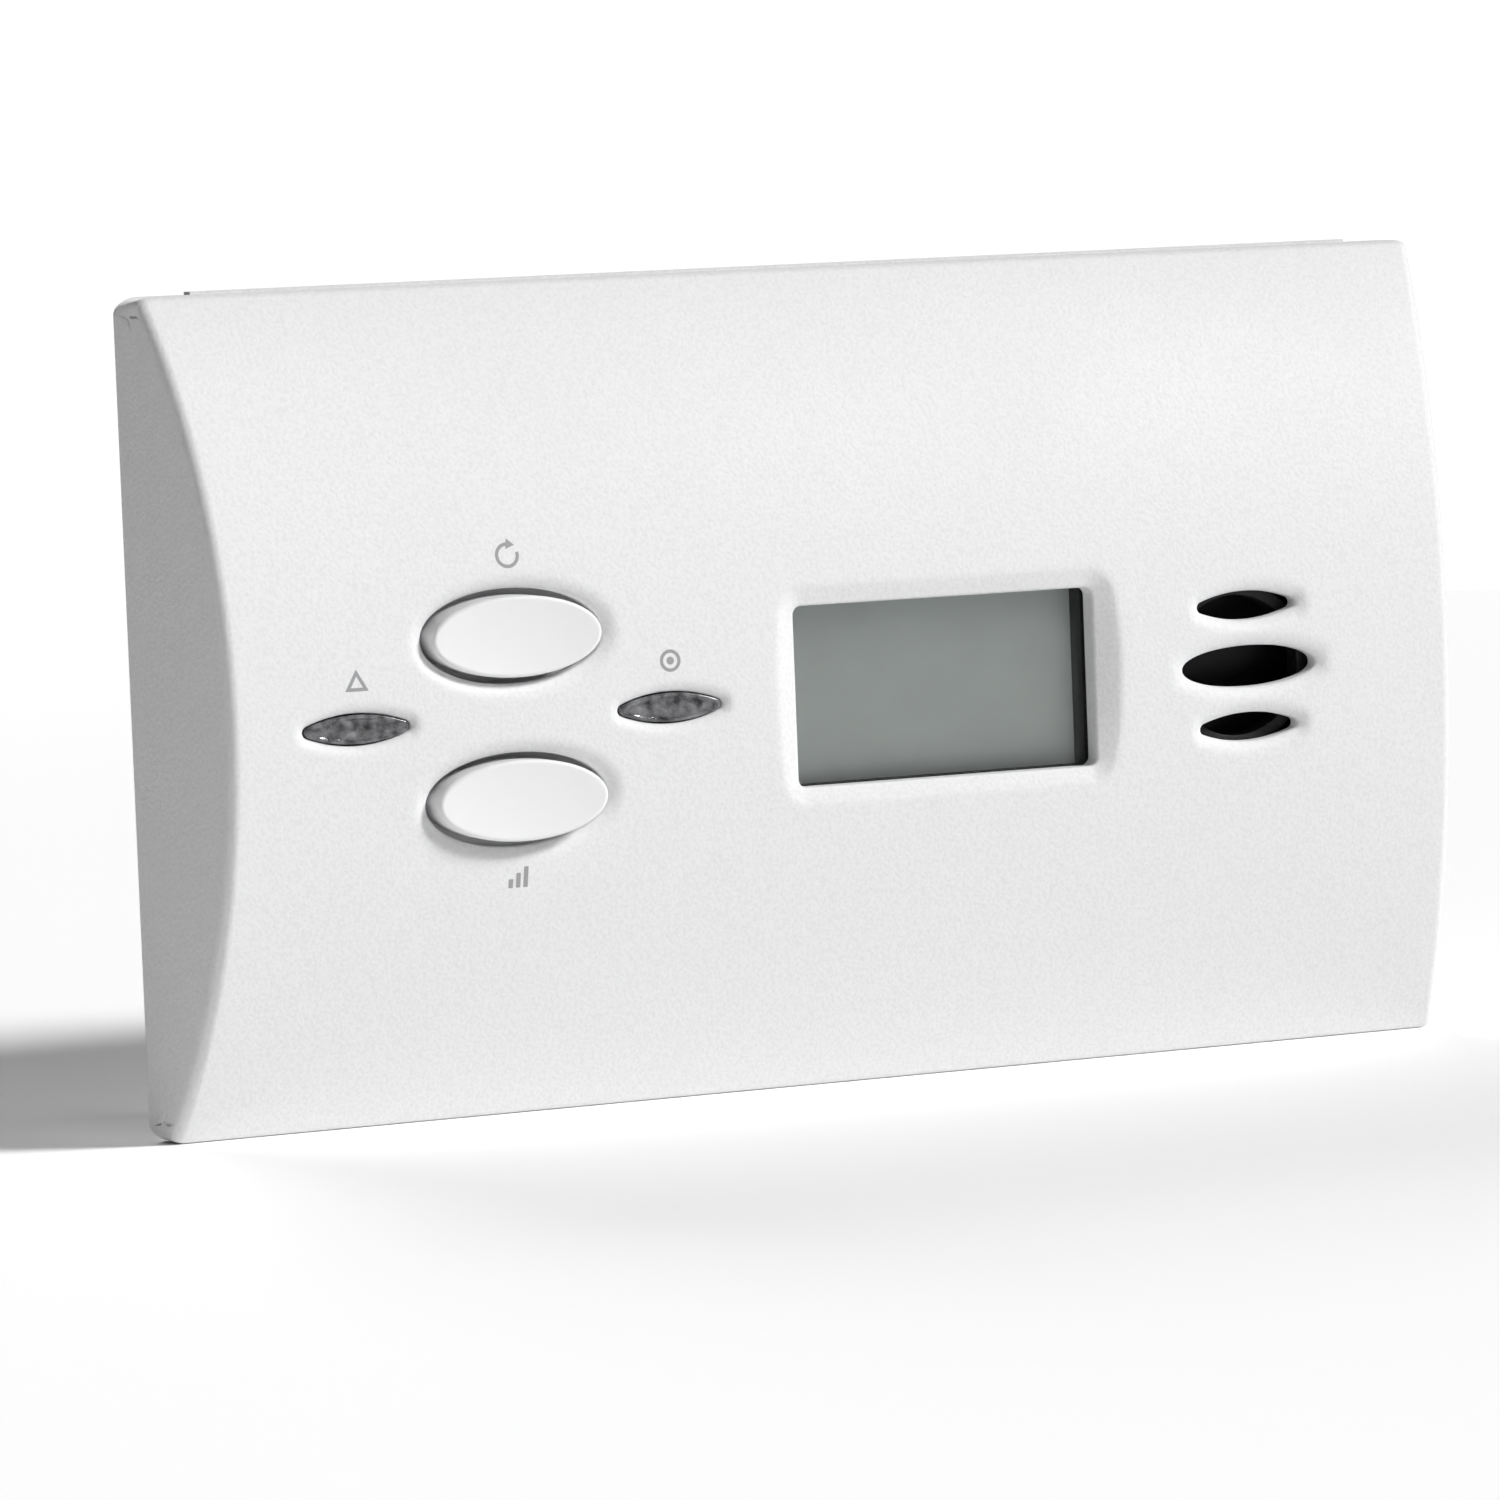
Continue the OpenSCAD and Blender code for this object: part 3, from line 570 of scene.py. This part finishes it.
def end_face(x, inset=0.0):
    """Sloping end face as a depth at position x."""
    half = HALF_W - inset / math.cos(END_SLOPE)
    return RIM - (half - np.abs(x)) / math.tan(END_SLOPE)


def creased(x, z):
    """Bowed face and end faces joined by a fillet."""
    face, cos_face = bow(z)
    end = end_face(x)
    cos_end = math.sin(END_SLOPE)
    a, b = CREASE_R + cos_face * face, CREASE_R + cos_end * end
    square = cos_face ** 2 + cos_end ** 2
    middle = a * cos_face + b * cos_end
    spare = middle ** 2 - square * (a * a + b * b - CREASE_R ** 2)
    fillet = (middle - np.sqrt(np.maximum(spare, 0))) / square
    near = (spare > 0) & (cos_face * (fillet - face) < CREASE_R) & (cos_end * (fillet - end) < CREASE_R)
    return np.where(near, fillet, np.maximum(face, end))


def flare(gap, depth, width):
    """Soft dish that surrounds an opening."""
    return depth * np.clip(1 - gap / width, 0, 1) ** 2


def button_gap(x, z):
    """Distance to the nearest button opening."""
    size = (CAP_W + 2 * BUTTON_GAP, CAP_H + 2 * BUTTON_GAP)
    return np.minimum(*[oval_gap(x, z, at, size) for at in BUTTONS.values()])


def lens_gap(x, z):
    """Distance to the nearest lens opening."""
    size = (LENS_SIZE[0] + LENS_GAP[0], LENS_SIZE[1] + LENS_GAP[1])
    return np.minimum(*[eye_gap(x, z, at, size) for at in LENSES.values()])


def slot_gap(x, z):
    """Distance to the nearest sound slot."""
    outer = [eye_gap(x, z, (SLOTS[0], SLOTS[1] + side * SLOT_PITCH), OUTER_SLOT) for side in (-1, 1)]
    return np.minimum(np.minimum(*outer), oval_gap(x, z, SLOTS, MIDDLE_SLOT))


def display_gap(x, z):
    """Distance to the display opening."""
    return rect_gap(x, z, DISPLAY, (DISPLAY_W, DISPLAY_H), DISPLAY_CORNER)


def outline_room(x, z):
    """Distance inside the round-cornered outline of the case."""
    return -rect_gap(x, z, (0, MID_Z), (2 * HALF_W + OUTLINE_SPARE_W, HEIGHT), CORNER_R)


def hole_gap(x, z):
    """Distance to the nearest opening of any kind."""
    return np.minimum(np.minimum(button_gap(x, z), lens_gap(x, z)),
                      np.minimum(slot_gap(x, z), display_gap(x, z)))


def in_rim_notch(z):
    """True at heights where the rear cover's rim takes the place of the cover's edge."""
    return (z > LIP) & (z < HEIGHT - LIP)


def cover_room(x, z):
    """Distance inside the front cover's outline and outside all its openings."""
    end_x = np.where(in_rim_notch(z), HALF_W - (RIM - SEAM) * math.tan(END_SLOPE), HALF_W)
    return np.minimum(np.minimum(outline_room(x, z), hole_gap(x, z)), end_x - np.abs(x))


def display_recess(x, z):
    """Fall of the cover's surface towards a flat-edged opening for the display."""
    low, high = DISPLAY[1] - DISPLAY_H / 2, DISPLAY[1] + DISPLAY_H / 2
    depth = np.maximum(CROWN + RECESS_DEPTH - bow(np.clip(z, low, high))[0], 0.01)
    width = RECESS_WIDTH * np.sqrt(depth / RECESS_DEPTH)
    return depth * smooth_max(1 - np.maximum(display_gap(x, z), 0) / width, 0, 0.1)


def cover_surface(x, z):
    """Face of the cover before its edges are rounded."""
    y = creased(x, z) + display_recess(x, z)
    y = y + flare(button_gap(x, z), *BUTTON_DISH)
    y = y + flare(lens_gap(x, z), *LENS_DISH)
    return y + flare(slot_gap(x, z), *SLOT_DISH)


def cover_front(x, z):
    """Outer surface of the front cover."""
    y = cover_surface(x, z) + edge_drop(outline_room(x, z), EDGE_R)
    return np.minimum(y + edge_drop(hole_gap(x, z), HOLE_EDGE_R), cover_limit(x, z))


def cover_limit(x, z):
    """Back edge of the front cover, notched for the rear cover's rim and top lip."""
    z_near = np.minimum(z, HEIGHT - z)
    rise = np.clip(LIP + SEAM_CORNER - z_near, 0, SEAM_CORNER)
    notch = SEAM + SEAM_CORNER - np.sqrt(SEAM_CORNER ** 2 - rise ** 2)
    limit = np.where(in_rim_notch(z), notch, RIM)
    at_lip = (np.abs(x) < TOP_LIP_HALF) & (z > HEIGHT - 2 * LIP)
    return np.where(at_lip, np.minimum(limit, RIM - TOP_LIP_DEPTH), limit)


def cover_back(x, z):
    """Inner surface of the front cover."""
    inner = np.maximum(bow(z, WALL)[0], end_face(x, WALL))
    edge = (z < WALL) | (z > HEIGHT - WALL)
    inner = np.where(edge, RIM, inner)
    pane = (np.abs(x - DISPLAY[0]) < PANE_W / 2) & (np.abs(z - DISPLAY[1]) < PANE_H / 2)
    inner = np.where(pane, np.maximum(inner, PANE_LOW[1]), inner)
    return np.minimum(inner, cover_limit(x, z))


LINE_PAIR = 0.01

# Spacing of the grid lines, and the stretches that hold controls and slots
PLAIN_STEP = 0.7
FINE_STEP = 0.3
EDGE_STEP = 0.2
END_STEP = 0.13
END_STRETCH = 1.5
GRID_SPARE = 0.2
CONTROLS_X = (-62, -14)
SLOTS_X = (34, 54)
CONTROLS_Z = (24, 58)
INSIDE_DISPLAY, ROUND_DISPLAY = 3, 4


def beside(values):
    """Each value as a pair of grid lines just before and just after it."""
    return [v + side * LINE_PAIR for v in values for side in (-1, 1)]


def cover_lines():
    """Grid lines of the front cover, close together at creases, openings and steps."""
    crown_x = HALF_W - (RIM - CROWN) * math.tan(END_SLOPE)
    seam_x = HALF_W - (RIM - SEAM) * math.tan(END_SLOPE)
    half = spaced([0, crown_x - END_STRETCH, HALF_W + GRID_SPARE], [PLAIN_STEP, END_STEP])
    fine = np.concatenate([even_lines(*CONTROLS_X, FINE_STEP), even_lines(*SLOTS_X, FINE_STEP)])
    border = PANE_W / 2
    reach = even_lines(border - INSIDE_DISPLAY, border + ROUND_DISPLAY, FINE_STEP)
    display_x = [DISPLAY[0] + side * d for side in (-1, 1) for d in reach]
    steps = beside([-TOP_LIP_HALF, TOP_LIP_HALF, -seam_x, seam_x,
                    DISPLAY[0] - border, DISPLAY[0] + border])
    xs = np.unique(np.round(np.concatenate([-half, half, fine, display_x, steps]), 4))
    edge_lines = beside([LIP, 2 * LIP, WALL, HEIGHT - LIP, HEIGHT - 2 * LIP, HEIGHT - WALL])
    pane_lines = beside([DISPLAY[1] - PANE_H / 2, DISPLAY[1] + PANE_H / 2])
    stops = [-GRID_SPARE, LIP + SEAM_CORNER, *CONTROLS_Z, HEIGHT - LIP - SEAM_CORNER, HEIGHT + GRID_SPARE]
    plain_lines = spaced(stops, [EDGE_STEP, PLAIN_STEP, FINE_STEP, PLAIN_STEP, EDGE_STEP])
    zs = np.concatenate([plain_lines, edge_lines, pane_lines])
    return xs, np.unique(np.round(zs, 4))


def build_front_cover():
    """Front cover with its soft creases, flared openings and display recess."""
    xs, zs = cover_lines()
    shell = solid(xs, zs, cover_room, cover_front, cover_back, quarter_rings(EDGE_R))
    add_piece("front_cover_shell", [shell], "case", MATERIALS["white_cover"], ["front_cover"])


build_front_cover()


# ---- buttons ----

DISH = 0.5
CAP_EDGE_R = 0.45
CAP_STEP = 0.2
CAP_ROOT = 0.4
FLANGE_INSET = 3.9
FLANGE_FRONT = CROWN + FLANGE_INSET
FLANGE_EDGE_R = 0.2
FLANGE_STEP = 0.5
FLANGE_T = 1.2
STEM_R = 2.2
STEM_STEP = 0.3
STEM_CLEARANCE = 0.03


def build_button(name):
    """Oval push button with a dished, round-edged cap, its flange and its stem."""
    x, z = BUTTONS[name]
    back = corners(name)[1][1]

    def cap_room(px, pz):
        return -oval_gap(px, pz, (x, z), (CAP_W, CAP_H))

    def cap_face(px, pz):
        share = (2 * (px - x) / CAP_W) ** 2 + (2 * (pz - z) / CAP_H) ** 2
        return CAP_FRONT + DISH * (1 - np.clip(share, 0, 1)) + edge_drop(cap_room(px, pz), CAP_EDGE_R)

    cap_xs = even_lines(x - CAP_W / 2, x + CAP_W / 2, CAP_STEP)
    cap_zs = even_lines(z - CAP_H / 2, z + CAP_H / 2, CAP_STEP)
    cap = solid(cap_xs, cap_zs, cap_room, cap_face,
                lambda px, pz: np.full_like(px, FLANGE_FRONT + CAP_ROOT), quarter_rings(CAP_EDGE_R))
    w, h = CAP_W + BUTTON_FLANGE_GROW, CAP_H + BUTTON_FLANGE_GROW
    flange = plate(even_lines(x - w / 2, x + w / 2, FLANGE_STEP),
                   even_lines(z - h / 2, z + h / 2, FLANGE_STEP),
                   lambda px, pz: -oval_gap(px, pz, (x, z), (w, h)), FLANGE_FRONT, FLANGE_FRONT + FLANGE_T,
                   quarter_rings(FLANGE_EDGE_R, 3))
    stem_lines = even_lines(-STEM_R, STEM_R, STEM_STEP)
    stem = plate(x + stem_lines, z + stem_lines, lambda px, pz: STEM_R - np.hypot(px - x, pz - z),
                 FLANGE_FRONT + FLANGE_T / 2, back - STEM_CLEARANCE)
    add_piece(name + "_cap", [cap, flange, stem], name, MATERIALS["white_cap"], [name])


for button_name in BUTTONS:
    build_button(button_name)


# ---- indicator lenses ----

LENS_INSET = 0.45
LENS_FRONT = CROWN + LENS_INSET
LENS_EDGE_R = 0.15
LENS_RIM = 0.32
LENS_SUNK = 0.28
LENS_SUNK_SLOPE = 0.12
LENS_BELLY = 0.25
FACET_DEPTH = 0.07
FACET_SIZE = (0.9, 1.3)
LENS_GRID = 0.09
LENS_FLANGE_GAP = 0.2
LENS_FLANGE_FRONT = CROWN + WALL + LENS_FLANGE_GAP
LENS_FLANGE_T = 1.0
LENS_FLANGE_R = 1.0
LENS_FLANGE_EDGE_R = 0.2
LENS_FLANGE_GROW = (2.0, 2.4)
LENS_FLANGE_STEP = (0.5, 0.3)


def build_lens(name):
    """Eye-shaped light pipe: a flat rim round a sunken, faceted middle, and a flange behind."""
    x, z = LENSES[name]
    w, h = LENS_SIZE
    back = corners(name)[1][1]

    def room(px, pz):
        return -eye_gap(px, pz, (x, z), LENS_SIZE)

    def face(px, pz):
        inner = np.clip((room(px, pz) - LENS_RIM) / LENS_SUNK_SLOPE, 0, 1)
        facets = FACET_DEPTH * np.abs(((px - x) / FACET_SIZE[0] + (pz - z) / FACET_SIZE[1]) % 2 - 1)
        belly = LENS_BELLY * np.clip(1 - (2 * (pz - z) / h) ** 2, 0, 1)
        edge = edge_drop(room(px, pz), LENS_EDGE_R)
        return LENS_FRONT + edge + inner * (LENS_SUNK + facets - belly)

    grid = even_lines(x - w / 2, x + w / 2, LENS_GRID), even_lines(z - h / 2, z + h / 2, LENS_GRID)
    nose = solid(*grid, room, face, lambda px, pz: np.full_like(px, back), quarter_rings(LENS_EDGE_R, 4))
    flange_size = (w + LENS_FLANGE_GROW[0], h + LENS_FLANGE_GROW[1])
    grow_x, grow_z = LENS_FLANGE_GROW[0] / 2, LENS_FLANGE_GROW[1] / 2
    flange = plate(even_lines(x - w / 2 - grow_x, x + w / 2 + grow_x, LENS_FLANGE_STEP[0]),
                   even_lines(z - h / 2 - grow_z, z + h / 2 + grow_z, LENS_FLANGE_STEP[1]),
                   lambda px, pz: -rect_gap(px, pz, (x, z), flange_size, LENS_FLANGE_R),
                   LENS_FLANGE_FRONT, LENS_FLANGE_FRONT + LENS_FLANGE_T,
                   quarter_rings(LENS_FLANGE_EDGE_R, 3))
    add_piece(name + "_pipe", [nose, flange], "case", MATERIALS["clear_lens"], [name])


for lens_name in LENSES:
    build_lens(lens_name)


# ---- battery cells ----

NUB_H = 1.3
CELL_BAND = 11.0

# Profiles as (along, radius): the rolled sleeve and the metal base from the near end, the metal top
# and its nub from the far end
CELL_EDGE = [(0.35, 5.9), (0.1, 6.2), (0.0, 6.6), (0.1, 7.0), (0.4, 7.25)]
CELL_BASE = [(0.05, 4.4), (0.02, 4.9), (0.12, 5.4), (0.6, 5.7)]
CELL_TOP = [(-0.6, 5.7), (-0.2, 5.5), (-0.15, 3.3), (0.1, 2.8), (0.9, 2.7), (1.2, 2.4), (NUB_H, 2.0)]


def build_cell(name):
    """Cell with a shrunk sleeve that rolls over both ends, a light band and metal ends."""
    low, high = corners(name)
    side = 1 if low[0] + high[0] > 0 else -1
    start = (low[0] if side > 0 else high[0], (low[1] + high[1]) / 2, (low[2] + high[2]) / 2)
    length = high[0] - low[0] - NUB_H
    join = length - CELL_BAND
    r = CELL_EDGE[-1][1]
    sleeve = lathe(CELL_EDGE + [(join, r)], start, sign=side)
    far_edge = [(length - along, radius) for along, radius in reversed(CELL_EDGE)]
    band = lathe([(join, r)] + far_edge, start, sign=side)
    base = lathe(CELL_BASE, start, sign=side)
    top = lathe([(length + along, radius) for along, radius in CELL_TOP], start, sign=side)
    finishes = [MATERIALS["cell_sleeve"], MATERIALS["label_film"], MATERIALS["zinc_steel"]]
    parts = [(*sleeve, 0), (*band, 1), (*base, 2), (*top, 2)]
    add_piece(name + "_cell", parts, "case", finishes, [name])


for cell_name in ("battery_bottom", "battery_middle", "battery_top"):
    build_cell(cell_name)


# ---- printed marks: plain symbols instead of lettering ----

INK_T = 0.015
MARK_REACH = 1.7
MARK_STROKE = 0.17
MARK_STEP = 0.07
MARK_ABOVE_BUTTON = 8.0
MARK_BELOW_BUTTON = 7.8
MARK_ABOVE_LENS = 4.7

RESTART_R = 1.1
RESTART_START, RESTART_END = math.radians(15), math.radians(80)
ARROW_REACH = 0.3
ARROW_SHIFT = 0.1
ARROW_POINTS = -10
BAR_HALF_W = 0.24
BAR_PITCH = 0.8
BAR_MIDDLE_H = 1.5
BAR_RISE = 0.6
BAR_FOOT = 1.05
CAUTION_REACH = 0.72
CAUTION_DROP = 0.2
RUNNING_R = 0.95
RUNNING_DOT_R = 0.4


def ring_room(x, z, radius):
    """Distance inside a ring's stroke."""
    return MARK_STROKE - np.abs(np.hypot(x, z) - radius)


def triangle_room(x, z, reach, pointing):
    """Distance inside an equilateral triangle that points in that direction, in degrees."""
    sides = [math.radians(pointing + turn) for turn in (60, 180, 300)]
    return np.min([reach - x * math.cos(a) - z * math.sin(a) for a in sides], axis=0)


def restart_mark(x, z):
    """Open ring with an arrow head."""
    start, end = RESTART_START, RESTART_END
    after_start = z * math.cos(start) - x * math.sin(start)
    before_end = x * math.sin(end) - z * math.cos(end)
    ring = np.minimum(ring_room(x, z, RESTART_R), -np.minimum(after_start, before_end))
    head = triangle_room(x - RESTART_R * math.cos(end) - ARROW_SHIFT, z - RESTART_R * math.sin(end),
                         ARROW_REACH, ARROW_POINTS)
    return np.maximum(ring, head)


def level_mark(x, z):
    """Three bars that grow in height."""
    bars = []
    for k in (-1, 0, 1):
        height = BAR_MIDDLE_H + BAR_RISE * k
        bars.append(np.minimum(BAR_HALF_W - np.abs(x - BAR_PITCH * k),
                               height / 2 - np.abs(z + BAR_FOOT - height / 2)))
    return np.max(bars, axis=0)


def caution_mark(x, z):
    """Triangle outline."""
    low = z + CAUTION_DROP
    hollow = triangle_room(x, low, CAUTION_REACH - 2 * MARK_STROKE, 90)
    return np.minimum(triangle_room(x, low, CAUTION_REACH, 90), -hollow)


def running_mark(x, z):
    """Dot in a ring."""
    return np.maximum(ring_room(x, z, RUNNING_R), RUNNING_DOT_R - np.hypot(x, z))


def print_mark(name, centre, room):
    """Thin ink that follows the bowed face."""
    lines = even_lines(-MARK_REACH, MARK_REACH, MARK_STEP)
    ink = solid(centre[0] + lines, centre[1] + lines,
                lambda x, z: room(x - centre[0], z - centre[1]),
                lambda x, z: cover_surface(x, z) - INK_T, lambda x, z: cover_surface(x, z) + INK_T)
    add_piece(name, [ink], "case", INK)


def beyond(centre, rise):
    """Point above a control, or below it where rise is negative."""
    return centre[0], centre[1] + rise


print_mark("test_mark", beyond(BUTTONS["test_button"], MARK_ABOVE_BUTTON), restart_mark)
print_mark("peak_mark", beyond(BUTTONS["peak_button"], -MARK_BELOW_BUTTON), level_mark)
print_mark("alarm_mark", beyond(LENSES["alarm_lens"], MARK_ABOVE_LENS), caution_mark)
print_mark("operate_mark", beyond(LENSES["operate_lens"], MARK_ABOVE_LENS), running_mark)


# ---- CAD nodes kept as they are, with softened edges and new finishes ----

ROUND_WIRES = ("battery_spring_bottom", "battery_spring_middle", "battery_spring_top", "negative_wire",
               "positive_wire")
BEVEL_WIDTH = 0.12
BEVEL_ANGLE = math.radians(35)
WELD_DISTANCE = 2e-6


def soften(node, width_mm):
    """Modifiers that round a CAD node's edges and even its shading. The shape of its mesh stays as it is."""
    piece = NODES[node]
    piece.data.shade_smooth()
    weld = piece.modifiers.new("weld", "WELD")
    weld.merge_threshold = WELD_DISTANCE
    if width_mm:
        bevel = piece.modifiers.new("edges", "BEVEL")
        bevel.width = width_mm * MM
        bevel.segments = 3
        bevel.limit_method = "ANGLE"
        bevel.angle_limit = BEVEL_ANGLE
        bevel.use_clamp_overlap = True
    if node in ROUND_WIRES:
        piece.modifiers.new("round", "SUBSURF").render_levels = 2
    normals = piece.modifiers.new("shading", "WEIGHTED_NORMAL")
    normals.keep_sharp = True


def paint(node, slot):
    """Gives a CAD node its finish."""
    mesh = NODES[node].data
    mesh.materials.clear()
    mesh.materials.append(MATERIALS[slot])


SLOT_OF = {row["node"]: row["material_slot"] for row in frame["record"]["subparts"]}
EDGE_WIDTH = {**dict.fromkeys(ROUND_WIRES, 0.0), "rear_cover": 0.25, "battery_door": 0.3,
              "rating_label": 0.0, "circuit_board": 0.1}

for node_name, node_object in NODES.items():
    if not node_object.hide_render:
        paint(node_name, SLOT_OF[node_name])
        soften(node_name, EDGE_WIDTH.get(node_name, BEVEL_WIDTH))


# ---- floor, light and camera ----

FLOOR_RADIUS = 0.8
FLOOR_SIDES = 96


def add_floor():
    """Plain pale round floor, small enough to end in the white surroundings."""
    bpy.ops.mesh.primitive_circle_add(vertices=FLOOR_SIDES, radius=FLOOR_RADIUS, fill_type="NGON",
                                      location=(0, 0, 0))
    floor = bpy.context.object
    floor.name = "floor"
    material, _, _, shader, _ = new_material("pale_floor")
    shader.inputs["Base Color"].default_value = (0.95, 0.95, 0.95, 1)
    shader.inputs["Roughness"].default_value = 0.9
    shader.inputs["Specular IOR Level"].default_value = 0.0
    floor.data.materials.append(material)


LIGHT_TARGET = (0, 0, 0.04)
LIGHT_DISTANCE = 1.5


def add_light(name, light, azimuth, elevation, only=None):
    """Light from that azimuth (0 is the front, -Y); only names the one object that it lights."""
    a, e = math.radians(azimuth), math.radians(elevation)
    away = Vector((math.sin(a) * math.cos(e), -math.cos(a) * math.cos(e), math.sin(e)))
    lamp = bpy.data.objects.new(name, light)
    lamp.location = Vector(LIGHT_TARGET) + away * LIGHT_DISTANCE
    lamp.rotation_mode = "QUATERNION"
    lamp.rotation_quaternion = away.to_track_quat("Z", "Y")
    bpy.context.scene.collection.objects.link(lamp)
    if only:
        lit = bpy.data.collections.new(name + "_lights")
        lit.objects.link(bpy.data.objects[only])
        lamp.light_linking.receiver_collection = lit


def add_softbox(name, size, power, azimuth, elevation):
    """Square soft light near the alarm."""
    light = bpy.data.lights.new(name, "AREA")
    light.size = size
    light.energy = power
    add_light(name, light, azimuth, elevation)


def add_sun(name, power, softness, azimuth, elevation, only=None):
    """Even light from far away, as wide as softness in degrees."""
    light = bpy.data.lights.new(name, "SUN")
    light.angle = math.radians(softness)
    light.energy = power
    add_light(name, light, azimuth, elevation, only)


def add_world(light, seen):
    """Even white surroundings: how much light they give, and how bright they look to the camera."""
    world = bpy.data.worlds.new("studio")
    world.use_nodes = True
    nodes, links = world.node_tree.nodes, world.node_tree.links
    path = nodes.new("ShaderNodeLightPath")
    strength = nodes.new("ShaderNodeMapRange")
    strength.inputs["To Min"].default_value = light
    strength.inputs["To Max"].default_value = seen
    links.new(path.outputs["Is Camera Ray"], strength.inputs["Value"])
    background = nodes["Background"]
    background.inputs["Color"].default_value = (1, 1, 1, 1)
    links.new(strength.outputs["Result"], background.inputs["Strength"])
    bpy.context.scene.world = world


# From a fit of the CAD outline to the outline in the photograph
CAMERA_AT = (-0.32785, -0.71525, 0.0960)
CAMERA_YAW = 24.344
CAMERA_PITCH = 4.483
CAMERA_ROLL = -2.219
CAMERA_LENS = 183.14


def add_camera():
    """Long lens at the front left, a little higher than the top of the alarm."""
    yaw, pitch, roll = (math.radians(a) for a in (CAMERA_YAW, CAMERA_PITCH, CAMERA_ROLL))
    ahead = Vector((math.sin(yaw) * math.cos(pitch), math.cos(yaw) * math.cos(pitch), -math.sin(pitch)))
    level = Vector((math.cos(yaw), -math.sin(yaw), 0))
    above = level.cross(ahead)
    right = level * math.cos(roll) + above * math.sin(roll)
    up = above * math.cos(roll) - level * math.sin(roll)
    camera = bpy.data.cameras.new("camera")
    camera.lens = CAMERA_LENS
    camera.sensor_width = 36
    camera.clip_start = 0.01
    camera.clip_end = 100
    holder = bpy.data.objects.new("camera", camera)
    turn = Matrix((right, up, -ahead)).transposed()
    holder.matrix_world = Matrix.Translation(CAMERA_AT) @ turn.to_4x4()
    bpy.context.scene.collection.objects.link(holder)
    bpy.context.scene.camera = holder


add_floor()

# Powers and directions are chosen to match the brightness of the photograph, not a real studio
add_world(light=0.01, seen=1.05)
add_sun("key", power=3.1, softness=13, azimuth=50, elevation=34)
add_sun("back_fill", power=1.15, softness=26, azimuth=180, elevation=35)
add_sun("floor_key", power=0.9, softness=14, azimuth=50, elevation=34, only="floor")
add_softbox("low_back_fill", size=0.7, power=2.8, azimuth=180, elevation=12)
add_softbox("front_fill", size=0.7, power=2.5, azimuth=0, elevation=35)
add_camera()
bpy.context.scene.view_settings.view_transform = "Standard"
